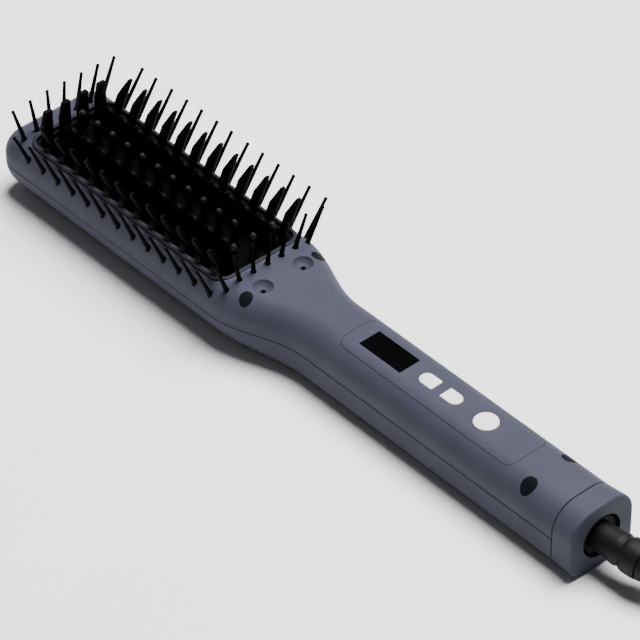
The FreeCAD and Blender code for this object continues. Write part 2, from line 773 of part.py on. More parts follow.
def make_lower_housing():
    """Bottom shell with screw posts and the ribs that carry what lies inside."""
    shell = cut("lower_hollow", OUTER, INNER)
    half = box("lower_half", ("-wall", LENGTH), even("head_width"), ("-wall", "parting_height"))
    lower = overlap("lower_shell", shell, half)
    inside = []
    for index, (station, offset, _) in enumerate(SCREW_PLACES):
        foot = (station, offset, "0")
        inside.append(rod(f"lower_post_{index}", "screw_boss_radius", foot, "parting_height"))
    frame_stations = ("(bed_start + frame_rib_inset)", f"({BED_END} - frame_rib_inset)")
    rail_stations = (f"({FIRST_PIN} + 2 * tooth_pitch)", f"({FIRST_PIN} + ({PIN_COUNT} - 3) * tooth_pitch)")
    rail_floor = f"{PIN_ROW_HEIGHT} - rail_height / 2"
    for side, word in ((-1, "near"), (1, "far")):
        seat = about(f"{side} * ({FRAME_HALF} - frame_rib_edge)", "rib_thickness")
        for end, station in zip(("tip", "neck"), frame_stations):
            span = about(station, "frame_rib_length")
            inside.append(box(f"{word}_frame_rib_{end}", span, seat, ("0", FRAME_FLOOR)))
        seat = about(f"{side} * {PIN_ROW_OFFSET}", "rail_width")
        for end, station in zip(("tip", "neck"), rail_stations):
            span = about(station, "rib_thickness")
            inside.append(box(f"{word}_rail_rib_{end}", span, seat, ("0", rail_floor)))
    shield = ("shield_rib_width", SHIELD_FLOOR)
    ion = ("ion_rib_width", "ion_floor")
    board = ("board_rib_width", BOARD_FLOOR)
    carried = (
        ("front_shield_rib", "(bed_start + shield_lead + shield_rib_inset)", shield),
        ("rear_shield_rib", f"({BED_END} - shield_trail - shield_rib_inset)", shield),
        ("front_ion_rib", f"({ION_START} + ion_rib_inset)", ion),
        ("rear_ion_rib", f"({ION_END} - ion_rib_inset)", ion),
        ("front_board_rib", f"({BOARD_START} + board_rib_inset)", board),
        ("rear_board_rib", f"({BOARD_END} - board_rib_inset)", board),
    )
    for name, station, (width, top) in carried:
        inside.append(box(name, about(station, "rib_thickness"), even(f"{width} / 2"), ("0", top)))
    _, station, height = END_ROWS["tip_pins"]
    inside.append(box("tip_rail_rib", about(station, "rib_thickness"), even("tip_rib_width / 2"),
                      ("0", f"{height} - end_rail_height / 2")))
    _, station, height = END_ROWS["neck_pins"]
    for side, word in ((-1, "near"), (1, "far")):
        middle = f"{side} * (head_width / 2 - neck_row_inset) * 2 / 3"
        inside.append(box(f"{word}_neck_rail_rib", about(station, "rib_thickness"),
                          about(middle, "rib_thickness"), ("0", f"{height} - end_rail_height / 2")))
    trimmed = overlap("lower_ribs", join("rib_group", inside), OUTER)
    solid = join("lower_solid", [lower, trimmed])
    pilots = []
    for index, (station, offset, _) in enumerate(SCREW_PLACES):
        foot = (station, offset, f"{SCREW_FOOT} - wall / 2")
        pilots.append(rod(f"pilot_{index}", "screw_radius + thread_gap", foot, "housing_height"))
    subpart(cut("lower_housing", solid, join("pilot_group", pilots)))


def make_screws():
    """Four housing screws and the four plugs that close their wells."""
    screws = []
    plugs = []
    for index, (station, offset, radius) in enumerate(SCREW_PLACES):
        head = rod(f"screw_head_{index}", "screw_head_radius", (station, offset, SCREW_SEAT),
                   "screw_head_height")
        foot = (station, offset, SCREW_FOOT)
        shank = rod(f"screw_shank_{index}", "screw_radius", foot, f"{SCREW_SEAT} - {SCREW_FOOT}")
        screws.append(join(f"screw_{index}", [head, shank]))
        foot = (station, offset, f"{SCREW_SEAT} + screw_head_height + running_gap")
        plugs.append(rod(f"plug_{index}", f"{radius} - plug_gap", foot, "housing_height"))
    subpart(join("housing_screws", screws))
    subpart(overlap("screw_plugs", join("plug_group", plugs), OUTER))


def make_end_cap():
    """Flared cap over the tail with the round cord outlet."""
    cap = body("end_cap")
    half = "handle_width / 2"
    radii = ["grip_low_radius", "grip_low_radius", "grip_radius", "grip_radius"]
    front = sketch(cap, "cap_front", "YZ_Plane", CAP_START)
    rounded(front, even(half), ("0", "housing_height"), radii)
    rear = sketch(cap, "cap_rear", "YZ_Plane", LENGTH)
    rounded(rear, even(f"{half} + cap_flare"), ("0", "housing_height + cap_flare"), radii)
    skin = cap.newObject("PartDesign::AdditiveLoft", "cap_skin")
    skin.Profile = rear
    skin.Sections = [front]
    skin.Ruled = True
    round_edges(cap, "cap_round", "cap_edge_radius", flat_at(LENGTH))
    hollow = sketch(cap, "cap_hollow", "YZ_Plane", CAP_START)
    rounded(hollow, even(f"{half} - cap_wall"), ("cap_wall", "housing_height - cap_wall"),
            [f"{radius} - cap_wall" for radius in radii])
    pocket(cap, "cap_pocket", hollow, "cap_length - cap_face_thickness")
    outlet = sketch(cap, "cap_outlet", "YZ_Plane", CAP_START)
    disc(outlet, ("0", AXIS_HEIGHT), "outlet_radius")
    pocket(cap, "cap_outlet_cut", outlet, "cap_length")
    subpart(cap)


# ---------------------------------------------------------------- control panel and buttons
BUTTONS = {
    "minus": (MINUS_STATION, "button_length", ("button_round", "button_corner")),
    "plus": (PLUS_STATION, "button_length", ("button_corner", "button_round")),
    "power": (POWER_STATION, "power_radius * 2", ("power_radius - power_flat / 2",) * 2),
}


def button_outline(item, name, gap):
    """Button's plan outline grown by a gap: D-shaped for minus and plus, round for power."""
    station, length, (head_end, tail_end) = BUTTONS[name]
    width = "power_radius * 2" if name == "power" else "button_width"
    span = (f"{station} - ({length}) / 2 - ({gap})", f"{station} + ({length}) / 2 + ({gap})")
    low, high = f"{head_end} + ({gap})", f"{tail_end} + ({gap})"
    return rounded(item, span, even(f"({width}) / 2 + ({gap})"), (low, high, high, low))


def make_buttons():
    """Caps with a hidden flange and stem, each standing on its switch's plunger."""
    for name in BUTTONS:
        cap = body(f"{name}_button")
        top = sketch(cap, f"{name}_cap_plan", "XY_Plane", FLANGE_TOP)
        button_outline(top, name, "0")
        pad(cap, f"{name}_cap", top, f"housing_height + button_rise - ({FLANGE_TOP})")
        flange = sketch(cap, f"{name}_flange_plan", "XY_Plane", f"{FLANGE_TOP} - flange_thickness")
        button_outline(flange, name, "button_flange")
        pad(cap, f"{name}_flange", flange, "flange_thickness")
        stem = sketch(cap, f"{name}_stem_plan", "XY_Plane", PLUNGER_TOP)
        disc(stem, (BUTTONS[name][0], "0"), "stem_radius")
        pad(cap, f"{name}_stem", stem, f"{FLANGE_TOP} - flange_thickness - ({PLUNGER_TOP})")
        subpart(cap)


def make_switches():
    """Tact switches on the board with their plungers."""
    for name, (station, _, _) in BUTTONS.items():
        case = box(f"{name}_case", about(station, "switch_size"), even("switch_size / 2"),
                   (BOARD_TOP, SWITCH_TOP))
        foot = (station, "0", f"{SWITCH_TOP} - switch_bore_depth")
        bore = rod(f"{name}_bore", "plunger_radius + shaft_gap", foot, "switch_height")
        subpart(cut(f"{name}_switch", case, bore))
        foot = (station, "0", f"{PLUNGER_TOP} - plunger_height")
        subpart(rod(f"{name}_plunger", "plunger_radius", foot, "plunger_height"))


def make_panel():
    """Curved strip flush with the housing, with end tabs, window seat and button holes."""
    strip = overlap("panel_block", OUTER, panel_prism("panel_plan", "0", "parting_height", "housing_height"))
    skin = cut("panel_skin", strip, INNER)
    tabs = []
    for word, edge, side in (("front", PANEL_START, -1), ("rear", PANEL_END, 1)):
        outer, inner = f"{edge} + {side} * panel_tab", f"{edge} - {side} * 2 * panel_tab"
        span = (outer, inner) if side < 0 else (inner, outer)
        tabs.append(box(f"{word}_tab", span, even("panel_tab_width / 2"),
                        (f"{ROOF} - panel_tab_thickness", ROOF)))
    solid = join("panel_solid", [skin] + tabs)
    seat = box("window_seat", (f"{WINDOW_START} - seam_gap", f"{WINDOW_END} + seam_gap"),
               even("window_width / 2 + seam_gap"), ("housing_height - window_thickness",
                                                     "housing_height + wall"))
    sight = box("window_sight", (f"{WINDOW_START} + window_ledge", f"{WINDOW_END} - window_ledge"),
                even("window_width / 2 - window_ledge"), ("parting_height", "housing_height + wall"))
    tools = [seat, sight]
    for name in BUTTONS:
        hole = body(f"{name}_hole")
        plan = sketch(hole, f"{name}_hole_plan", "XY_Plane", "parting_height")
        button_outline(plan, name, "button_gap")
        pad(hole, f"{name}_hole_pad", plan, "housing_height")
        tools.append(hole)
    subpart(cut("control_panel", solid, join("panel_openings", tools)))
    subpart(box("display_window", (WINDOW_START, WINDOW_END), even("window_width / 2"),
                ("housing_height - window_thickness", "housing_height")))


def make_board():
    """Main board with the display module standing on it."""
    subpart(box("main_board", (BOARD_START, BOARD_END), even("handle_width / 2 - wall - board_side_gap"),
                (BOARD_FLOOR, BOARD_TOP)))
    span = (f"{WINDOW_START} - lcd_margin", f"{WINDOW_END} + lcd_margin")
    subpart(box("display_module", span, even("lcd_width / 2"), (BOARD_TOP, f"{ROOF} - lcd_gap")))


# ---------------------------------------------------------------- brush bed
def make_bed_rim():
    """Grey trim ring round the brush bed."""
    rim = body("bed_rim")
    plan = sketch(rim, "rim_plan", "XY_Plane", FRAME_TOP)
    rounded(plan, ("bed_start", BED_END), even(BED_HALF), ["bed_corner"] * 4)
    rounded(plan, ("bed_start + rim_width", f"{BED_END} - rim_width"), even(f"{BED_HALF} - rim_width"),
            ["bed_corner - rim_width"] * 4)
    pad(rim, "rim_pad", plan, f"housing_height + rim_rise - ({FRAME_TOP})")
    subpart(rim)


def make_bristle_frame():
    """Black ring that holds the fins, under the rim."""
    frame = body("bristle_frame")
    plan = sketch(frame, "frame_plan", "XY_Plane", FRAME_FLOOR)
    rounded(plan, ("bed_start + seam_gap * 2", f"{BED_END} - seam_gap * 2"), even(FRAME_HALF),
            ["bed_corner"] * 4)
    window = ("bed_start + frame_tip_border", f"{BED_END} - frame_neck_border")
    rounded(plan, window, even(f"{FRAME_HALF} - frame_border"), ["rim_width"] * 4)
    pad(frame, "frame_pad", plan, "frame_plate")
    subpart(frame)


def make_fins():
    """Slanted fins on the frame: a row along each side and a short row across the tip."""
    start = "bed_start + fin_lead"
    root = f"({BED_HALF} - fin_inset)"
    bend = f"{FRAME_TOP} + fin_upright"
    reach = "(fin_rise - fin_upright) * tan(fin_lean)"
    count = "floor((bed_length - fin_lead - fin_length - fin_trail) / tooth_pitch) + 1"
    for side, name in ((-1, "near_fins"), (1, "far_fins")):
        row = solid_row(name)
        section = sketch(row, f"{name}_section", "YZ_Plane", start)
        outline(section, [
            (f"{side} * {root}", FRAME_TOP),
            (f"{side} * ({root} + fin_thickness)", FRAME_TOP),
            (f"{side} * ({root} + fin_thickness)", bend),
            (f"{side} * ({root} + fin_thickness + {reach})", FIN_TOP),
            (f"{side} * ({root} + {reach})", FIN_TOP),
            (f"{side} * {root}", bend),
        ])
        fin = pad(row, f"{name}_pad", section, "fin_length")
        slope = sketch(row, f"{name}_slope", "XZ_Plane", "-head_width")
        outline(slope, [
            (f"{start} - seam_gap", f"{FIN_TOP} - fin_slope_drop"),
            (f"{start} + fin_length - fin_flat", FIN_TOP),
            (f"{start} + fin_length - fin_flat", f"{FIN_TOP} + wall"),
            (f"{start} - seam_gap", f"{FIN_TOP} + wall"),
        ])
        trim = pocket(row, f"{name}_trim", slope, "head_width * 2")
        row_of(row, f"{name}_row", [fin, trim], count, "tooth_pitch")
        subpart(row)
    row = solid_row("tip_fins")
    section = sketch(row, "tip_fin_section", "YZ_Plane", "bed_start + tip_fin_lead")
    for share in (-3, -1, 1, 3):
        low, high = about(f"{share} / 3 * ({BED_HALF} - tip_fin_inset)", "tip_fin_width")
        outline(section, [
            (low, FRAME_TOP),
            (high, FRAME_TOP),
            (high, TIP_FIN_TOP),
            (f"{high} - tip_fin_flat", TIP_FIN_TOP),
            (low, f"{TIP_FIN_TOP} - fin_slope_drop"),
        ])
    pad(row, "tip_fin_pad", section, "fin_thickness")
    subpart(row)


def post_places():
    """Plan positions of the comb's posts: one row along the middle and three across the neck end."""
    row = [(f"{FIRST_TOOTH} + {index} * tooth_pitch", "0") for index in range(int(value(TOOTH_COUNT)))]
    return row, [(CROSS_STATION, f"{side} * ({COMB_HALF} - cross_tooth_inset)") for side in (-1, 0, 1)]


def make_heating_comb():
    """Coated aluminium plate of the comb: a flange under the frame and a raised deck in its window."""
    comb = body("comb_casting")
    tip_end = "bed_start + frame_tip_border + slot_gap"
    base = sketch(comb, "comb_base_plan", "XY_Plane", HEATER_TOP)
    rounded(base, (f"{tip_end} - comb_flange_ledge", f"{COMB_END} + comb_flange_ledge"),
            even(f"{COMB_HALF} + comb_flange_ledge"), ["rim_width"] * 4)
    pad(comb, "comb_base", base, "comb_flange")
    step = sketch(comb, "comb_step_plan", "XY_Plane", FRAME_FLOOR)
    rounded(step, (tip_end, COMB_END), even(COMB_HALF), ["rim_width"] * 4)
    pad(comb, "comb_step", step, f"{COMB_DECK} - ({FRAME_FLOOR})")
    holes = []
    for index, station in enumerate(CLAMP_SCREWS):
        foot = (station, "0", HEATER_TOP)
        holes.append(rod(f"comb_pilot_{index}", "clamp_screw_radius + thread_gap", foot, "comb_flange"))
    subpart(cut("heating_comb", comb, join("comb_pilots", holes)))


def make_comb_teeth():
    """Teeth on the comb's deck: round posts, and a row of round-backed blades along each side."""
    row, cross = post_places()
    posts = solid_row("comb_posts")
    cross_plan = sketch(posts, "cross_plan", "XY_Plane", COMB_DECK)
    for place in cross:
        disc(cross_plan, place, "tooth_radius")
    pad(posts, "cross_posts", cross_plan, "tooth_height", "tooth_taper")
    post_plan = sketch(posts, "post_plan", "XY_Plane", COMB_DECK)
    disc(post_plan, row[0], "tooth_radius")
    post = pad(posts, "post", post_plan, "tooth_height", "tooth_taper")
    row_of(posts, "post_row", [post], TOOTH_COUNT, "tooth_pitch")
    subpart(posts)
    start = f"{FIRST_TOOTH} + tooth_pitch / 2 - blade_length / 2"
    middle = f"({COMB_HALF} - blade_inset)"
    for name, offset in (("far_blades", f"-({middle} + blade_thickness / 2)"),
                         ("near_blades", f"{middle} - blade_thickness / 2")):
        blades = solid_row(name)
        plan = sketch(blades, f"{name}_plan", "XZ_Plane", offset)
        rounded(plan, (start, f"{start} + blade_length"), (COMB_DECK, f"{COMB_DECK} + blade_height"),
                ("comb_rise / 2", "comb_rise / 2", "blade_round", "blade_round"))
        blade = pad(blades, f"{name}_pad", plan, "blade_thickness")
        row_of(blades, f"{name}_row", [blade], TOOTH_COUNT, "tooth_pitch")
        subpart(blades)


def make_tooth_tips():
    """Pale heat-proof tips on the comb's posts."""
    row, cross = post_places()
    tips = []
    for index, (along, across) in enumerate(row + cross):
        tip = named("Part::Cone", f"tip_{index}")
        bind(tip, {
            "Radius1": "tip_radius",
            "Radius2": "tip_radius * 0.55",
            "Height": "tip_height",
            "Placement.Base.x": f"{along} - {ORIGIN_SHIFT}",
            "Placement.Base.y": across,
            "Placement.Base.z": f"{COMB_DECK} + tooth_height",
        })
        tips.append(tip)
    subpart(join("tooth_tips", tips))


# ---------------------------------------------------------------- heater
CLAMP_START = f"({HEATER_START} - clamp_margin)"
CLAMP_END = f"({HEATER_END} + clamp_margin)"
CLAMP_SCREWS = (f"{CLAMP_START} + clamp_leg / 2", f"{CLAMP_END} - clamp_leg / 2")


def make_heater():
    """Ceramic heater in its insulating sleeve, pressed to the comb by a screwed clamp."""
    sleeve = box("sleeve_block", (HEATER_START, HEATER_END), even(HEATER_HALF), (HEATER_FLOOR, HEATER_TOP))
    room = (
        (f"{HEATER_START} + film_thickness", f"{HEATER_END} - film_thickness"),
        even(f"{HEATER_HALF} - film_thickness"),
        (f"{HEATER_FLOOR} + film_thickness", f"{HEATER_TOP} - film_thickness"),
    )
    subpart(cut("heater_insulator", sleeve, box("sleeve_room", *room)))
    subpart(box("heater_element", *room))
    floor = f"{HEATER_FLOOR} - clamp_thickness"
    plate = box("clamp_plate", (CLAMP_START, CLAMP_END), even(HEATER_HALF), (floor, HEATER_FLOOR))
    front = box("clamp_front_leg", (CLAMP_START, f"{CLAMP_START} + clamp_leg"), even("clamp_leg_width / 2"),
                (floor, HEATER_TOP))
    rear = box("clamp_rear_leg", (f"{CLAMP_END} - clamp_leg", CLAMP_END), even("clamp_leg_width / 2"),
               (floor, HEATER_TOP))
    ways = []
    screws = []
    for index, station in enumerate(CLAMP_SCREWS):
        ways.append(rod(f"clamp_way_{index}", "clamp_screw_radius + shaft_gap", (station, "0", floor),
                        "housing_height / 2"))
        head = rod(f"clamp_head_{index}", "clamp_screw_head", (station, "0", f"{floor} - clamp_thickness"),
                   "clamp_thickness")
        shank = rod(f"clamp_shank_{index}", "clamp_screw_radius", (station, "0", floor),
                    f"{HEATER_TOP} + comb_flange * 0.8 - ({floor})")
        screws.append(join(f"clamp_screw_{index}", [head, shank]))
    subpart(cut("heater_clamp", join("clamp_solid", [plate, front, rear]), join("clamp_ways", ways)))
    subpart(join("clamp_screws", screws))
    aside = f"({HEATER_HALF} + side_part_gap + fuse_radius)"
    foot = (f"{HEATER_START} + fuse_lead", aside, f"{HEATER_TOP} - fuse_radius - sensor_gap")
    subpart(rod("thermal_fuse", "fuse_radius", foot, "fuse_length", "x"))
    foot = (f"{HEATER_START} + sensor_lead", f"-{aside}", f"{HEATER_TOP} - sensor_radius - sensor_gap")
    subpart(rod("temperature_sensor", "sensor_radius", foot, "sensor_length", "x"))
    subpart(box("heat_shield", ("bed_start + shield_lead", f"{BED_END} - shield_trail"),
                even(f"{BED_HALF} - shield_inset"), (SHIELD_FLOOR, SHIELD_TOP)))


def make_ion_parts():
    """Ion generator with two nozzles and the needles in them."""
    half = f"{HEAD_SCREW_OFFSET} - screw_boss_radius - ion_side_gap"
    subpart(box("ion_generator", (ION_START, ION_END), even(half), ("ion_floor", ION_TOP)))
    needles = []
    for side, word in ((-1, "near"), (1, "far")):
        foot = (OUTLET_STATION, f"{side} * {OUTLET_OFFSET}", ION_TOP)
        rise = f"housing_height - scoop_boss_depth - {ION_TOP}"
        tube_solid = rod(f"{word}_nozzle_block", "nozzle_radius", foot, rise)
        bore = rod(f"{word}_nozzle_bore", "nozzle_bore", foot, rise)
        subpart(cut(f"{word}_ion_nozzle", tube_solid, bore))
        needles.append(rod(f"{word}_needle", "needle_radius", foot, rise))
    subpart(join("emitter_needles", needles))


# ---------------------------------------------------------------- swivel and contacts
def make_swivel():
    """Round hub that turns in the end cap, its retainer, slip rings and contacts."""
    flange_front = f"{CAP_START} + cap_length - cap_face_thickness - running_gap"
    flange_back = f"{flange_front} - hub_flange"
    tail_end = f"{flange_back} - hub_tail_length"
    nose = "outlet_radius - running_gap"
    rim = "(min(handle_width; housing_height) / 2 - cap_wall - hub_flange_gap)"
    hub = body("swivel_hub")
    profile = sketch(hub, "hub_profile", "XZ_Plane", "0")
    bind(profile, {"AttachmentOffset.Base.y": AXIS_HEIGHT})
    outline(profile, [
        (tail_end, "0"),
        (HUB_FACE, "0"),
        (HUB_FACE, f"{nose} - hub_nose_chamfer"),
        (f"{HUB_FACE} - hub_nose_chamfer", nose),
        (flange_front, nose),
        (flange_front, rim),
        (flange_back, rim),
        (flange_back, "hub_tail_radius"),
        (tail_end, "hub_tail_radius"),
    ])
    turned = hub.newObject("PartDesign::Revolution", "hub_turned")
    turned.Profile = profile
    turned.ReferenceAxis = (profile, ["H_Axis"])
    turned.Angle = 360
    subpart(hub)
    plate_end = f"{flange_back} - running_gap"
    plate_start = f"{plate_end} - retainer_thickness"
    retainer = body("swivel_retainer")
    plan = sketch(retainer, "retainer_plan", "YZ_Plane", plate_start)
    rounded(plan, even("handle_width / 2 - cap_wall - plug_gap"),
            ("cap_wall + plug_gap", "housing_height - cap_wall - plug_gap"),
            ["grip_low_radius - cap_wall", "grip_low_radius - cap_wall",
             "grip_radius - cap_wall", "grip_radius - cap_wall"])
    disc(plan, ("0", AXIS_HEIGHT), "hub_tail_radius + shaft_gap")
    pad(retainer, "retainer_pad", plan, "retainer_thickness")
    subpart(retainer)
    rings = []
    springs = []
    for step in (0, 1):
        start = f"{tail_end} + ring_width + ring_pitch * {step}"
        foot = (start, "0", AXIS_HEIGHT)
        outer = rod(f"ring_outer_{step}", "ring_radius", foot, "ring_width", "x")
        inner = rod(f"ring_inner_{step}", "hub_tail_radius + thread_gap", foot, "ring_width", "x")
        rings.append(cut(f"ring_{step}", outer, inner))
        springs.append(box(f"contact_{step}", (start, f"{start} + ring_width"), even("contact_width / 2"),
                           (f"{AXIS_HEIGHT} - ring_radius - contact_gap - contact_thickness",
                            f"{AXIS_HEIGHT} - ring_radius - contact_gap")))
    subpart(join("slip_rings", rings))
    subpart(join("contact_springs", springs))
    deck = f"{AXIS_HEIGHT} - ring_radius - contact_gap - contact_thickness"
    half = f"{TAIL_SCREW_OFFSET} - screw_boss_radius - block_side_gap"
    block = box("contact_deck", (f"{tail_end} - running_gap", f"{tail_end} + hub_tail_length * 0.7"),
                even(half), ("wall", deck))
    upright = box("contact_wall", (f"{tail_end} - running_gap - block_wall", f"{tail_end} - running_gap"),
                  even(half), ("wall", f"{BOARD_MIDDLE} + wire_radius + block_lip"))
    subpart(join("contact_block", [block, upright]))
    return tail_end


# ---------------------------------------------------------------- wires and cord
def tube(points, radius, end_share=0.45):
    """Round tube along straight runs joined by tangent arcs, with its tightest radius and length.

    end_share is the most of the first or last run that the arc next to it takes.
    """
    places = [Vector(*point) for point in points]
    edges = []
    start = places[0]
    radii = []
    shares = [end_share, *[0.45] * (len(places) - 3), end_share]
    for before, corner, after, taken, left in zip(places, places[1:], places[2:], shares, shares[1:]):
        inward = (before - corner).normalize()
        onward = (after - corner).normalize()
        half_turn = (math.pi - inward.getAngle(onward)) / 2
        reach = min(taken * corner.distanceToPoint(before), left * corner.distanceToPoint(after))
        bend = reach / math.tan(half_turn)
        entry = corner + inward * reach
        leave = corner + onward * reach
        rise = math.hypot(bend, reach) - bend
        middle = corner + (inward + onward).normalize() * rise
        edges.append(Part.LineSegment(start, entry).toShape())
        edges.append(Part.Arc(entry, middle, leave).toShape())
        radii.append(bend)
        start = leave
    edges.append(Part.LineSegment(start, places[-1]).toShape())
    path = Part.Wire(edges)
    ring = Part.Wire([Part.Circle(places[0], places[1] - places[0], radius).toShape()])
    solid = path.makePipeShell([ring], True, False)
    return solid, min(radii), path.Length


def cord_piece(label, shape):
    """Piece whose shape is made by a sweep along its own route."""
    item = named("Part::Feature", label)
    item.Shape = shape
    return subpart(item)


def free_tube(label, points):
    """Stretch of cord that isn't coiled; prints its bends and checks its volume."""
    radius = value("cord_radius")
    solid, tightest, length = tube(points, radius, 0.9)
    section = math.pi * radius ** 2
    print(f"{label}: length {length:.1f} tightest radius {tightest:.1f} volume {solid.Volume:.1f}"
          f" against {section * length:.1f}")
    return cord_piece(label, solid)


def make_wires(tail_end):
    """Pairs of insulated wires from the contacts to the board and from the board to the heater."""
    shift = value(ORIGIN_SHIFT)
    board_z = value(BOARD_MIDDLE)
    heater_z = value(f"{HEATER_FLOOR} + heater_height / 2")
    heater_x = value(HEATER_END) - shift
    board_x = value(BOARD_START) - shift
    pairs = {"heater_wires": [], "supply_wires": []}
    for side in (-1, 1):
        wide = side * value(f"{OUTLET_OFFSET} - heater_wire_inset")
        slim = side * value("board_wire_offset")
        route = [
            (heater_x, wide, heater_z),
            (heater_x + value("heater_wire_run"), wide, heater_z),
            (board_x - value("board_wire_run"), slim, board_z),
            (board_x, slim, board_z),
        ]
        pairs["heater_wires"].append(tube(route, value("wire_radius"))[0])
        start = Vector(value(BOARD_END) - shift, slim, board_z)
        run = value(f"{tail_end} - running_gap - block_wall - {BOARD_END}")
        wire = Part.makeCylinder(value("wire_radius"), run, start, Vector(1, 0, 0))
        pairs["supply_wires"].append(wire)
    for label, wires in pairs.items():
        cord_piece(label, Part.makeCompound(wires))


def make_cord_guard():
    """Swelling and then tapering strain relief that bends off the hub; gives its far end."""
    radius = value("guard_bend_radius")
    bend = math.radians(value("guard_bend"))
    dip = math.radians(value("guard_dip"))
    ahead = Vector(1, 0, 0)
    aside = Vector(0, math.cos(dip), -math.sin(dip))
    start = Vector(value(f"{HUB_FACE} - {ORIGIN_SHIFT}"), 0, value(AXIS_HEIGHT))
    turn_in = start + ahead * value("guard_lead")

    def on_arc(angle):
        return turn_in + ahead * (radius * math.sin(angle)) + aside * (radius * (1 - math.cos(angle)))

    heading = ahead * math.cos(bend) + aside * math.sin(bend)
    turn_out = on_arc(bend)
    end = turn_out + heading * value("guard_tail")
    path = Part.Wire([
        Part.LineSegment(start, turn_in).toShape(),
        Part.Arc(turn_in, on_arc(bend / 2), turn_out).toShape(),
        Part.LineSegment(turn_out, end).toShape(),
    ])
    rings = [
        Part.Wire([Part.Circle(place, direction, value(size)).toShape()])
        for place, direction, size in (
            (start, ahead, "guard_root_radius"),
            (turn_out, heading, "guard_belly_radius"),
            (end, heading, "guard_tip_radius"),
        )
    ]
    cord_piece("cord_guard", path.makePipeShell(rings, True, False))
    return end


def make_cord():
    """Cord from the guard to its storage coil, the coil, and the end that leads to the plug."""
    end = make_cord_guard()
    free_tube("cord_lead", [tuple(end), *CORD_LEAD_POINTS])
    middle = (f"coil_x + {ORIGIN_SHIFT}", "coil_y", "0")
    outer = rod("coil_block", "coil_outer_radius", middle, "coil_height")
    inner = rod("coil_eye", "coil_inner_radius", middle, "coil_height")
    subpart(cut("cord_coil", outer, inner))
    entry = (value("plug_x"), value("plug_y"), value("coil_height + plug_height / 2"))
    free_tube("cord_tail", [*CORD_TAIL_POINTS, entry])
    print(f"guard ends at {end.x:.2f} {end.y:.2f} {end.z:.2f}")


def turned_body(label):
    """Body that stands at the plug's place and heading."""
    item = named("PartDesign::Body", label)
    item.Placement = Placement(Vector(), Rotation(Vector(0, 0, 1), 1))
    return bind(item, {"Placement.Base.x": "plug_x", "Placement.Base.y": "plug_y",
                       "Placement.Base.z": "coil_height", "Placement.Rotation.Angle": "plug_turn"})


def make_plug():
    """Moulded two-pin plug lying on the coil."""
    plug = turned_body("plug_body")
    plan = sketch(plug, "plug_plan", "XY_Plane", "0")
    rounded(plan, ("0", "plug_length"), even("plug_width / 2"), ["plug_corner"] * 4)
    pad(plug, "plug_pad", plan, "plug_height")
    top = value("plug_height")
    round_edges(plug, "plug_round", "plug_edge",
                lambda edge: abs(edge.BoundBox.ZMin - edge.BoundBox.ZMax) < 1e-6 and
                (abs(edge.BoundBox.ZMin) < 1e-6 or abs(edge.BoundBox.ZMin - top) < 1e-6))
    subpart(plug)
    pins = turned_body("plug_blades")
    section = sketch(pins, "blade_section", "YZ_Plane", "plug_length")
    low = "plug_height / 2 - blade_pin_width / 2"
    high = "plug_height / 2 + blade_pin_width / 2"
    for side in (-1, 1):
        middle = f"{side} * blade_pin_spacing / 2"
        outline(section, [
            (f"{middle} - blade_pin_thickness / 2", low),
            (f"{middle} + blade_pin_thickness / 2", low),
            (f"{middle} + blade_pin_thickness / 2", high),
            (f"{middle} - blade_pin_thickness / 2", high),
        ])
    pad(pins, "blade_pad", section, "blade_pin_length")
    pins.AllowCompound = True
    subpart(pins)


# ---------------------------------------------------------------- build, check and write
make_upper_housing()
make_lower_housing()
make_screws()
make_end_cap()
make_panel()
make_buttons()
make_switches()
make_board()
make_bed_rim()
make_bristle_frame()
make_fins()
make_heating_comb()
make_comb_teeth()
make_tooth_tips()
make_pin_rails()
make_heater()
make_ion_parts()
make_wires(make_swivel())
make_cord()
make_plug()
doc.recompute()

faults = [item.Label for item in doc.Objects if {"Invalid", "Error"} & set(item.State)]
faults += [part.Label for part in subparts if part.Shape.isNull() or not part.Shape.isValid()]
if faults:
    raise RuntimeError(f"failed objects: {faults}")

os.makedirs("parts", exist_ok=True)
for part in subparts:
    part.Shape.exportStep(f"parts/{part.Label}.step")
    limits = part.Shape.BoundBox
    print(f"{part.Label}: solids {len(part.Shape.Solids)} volume {part.Shape.Volume:.1f}"
          f" x {limits.XMin:.1f}..{limits.XMax:.1f} y {limits.YMin:.1f}..{limits.YMax:.1f}"
          f" z {limits.ZMin:.1f}..{limits.ZMax:.1f}")
print(f"{len(subparts)} parts")
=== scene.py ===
import logging
import math
from dataclasses import dataclass
from enum import Enum, IntEnum

import bmesh
import bpy
from mathutils import Matrix, Vector


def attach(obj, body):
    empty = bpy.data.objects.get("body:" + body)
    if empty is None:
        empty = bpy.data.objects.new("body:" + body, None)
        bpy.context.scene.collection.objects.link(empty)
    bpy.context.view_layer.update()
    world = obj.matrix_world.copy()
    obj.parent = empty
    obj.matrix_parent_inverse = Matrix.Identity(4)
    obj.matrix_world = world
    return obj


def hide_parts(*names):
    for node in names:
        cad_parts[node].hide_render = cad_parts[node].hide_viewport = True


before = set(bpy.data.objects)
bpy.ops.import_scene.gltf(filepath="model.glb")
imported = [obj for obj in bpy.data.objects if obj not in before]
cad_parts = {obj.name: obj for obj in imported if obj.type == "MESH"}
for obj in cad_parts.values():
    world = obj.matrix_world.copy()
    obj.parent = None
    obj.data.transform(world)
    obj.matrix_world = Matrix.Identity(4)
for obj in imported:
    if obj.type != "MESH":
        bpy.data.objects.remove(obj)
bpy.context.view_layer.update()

LOG = logging.getLogger("brush")
MM = 0.001  # metres in a millimetre
TIP = -128.0  # X of the head's tip
SOLID_CREASE = 30.0  # degrees past which an edge of a dressed solid stays sharp
FORM_CREASE = 35.0  # the same for a form made here
BEVEL_ANGLE = 30.0  # degrees past which an edge is rounded
RAIL_CORNER = 0.2
WELD = 2e-6  # metres within which points merge
SLIVER = 1e-7  # metres below which an edge or a gap is nothing
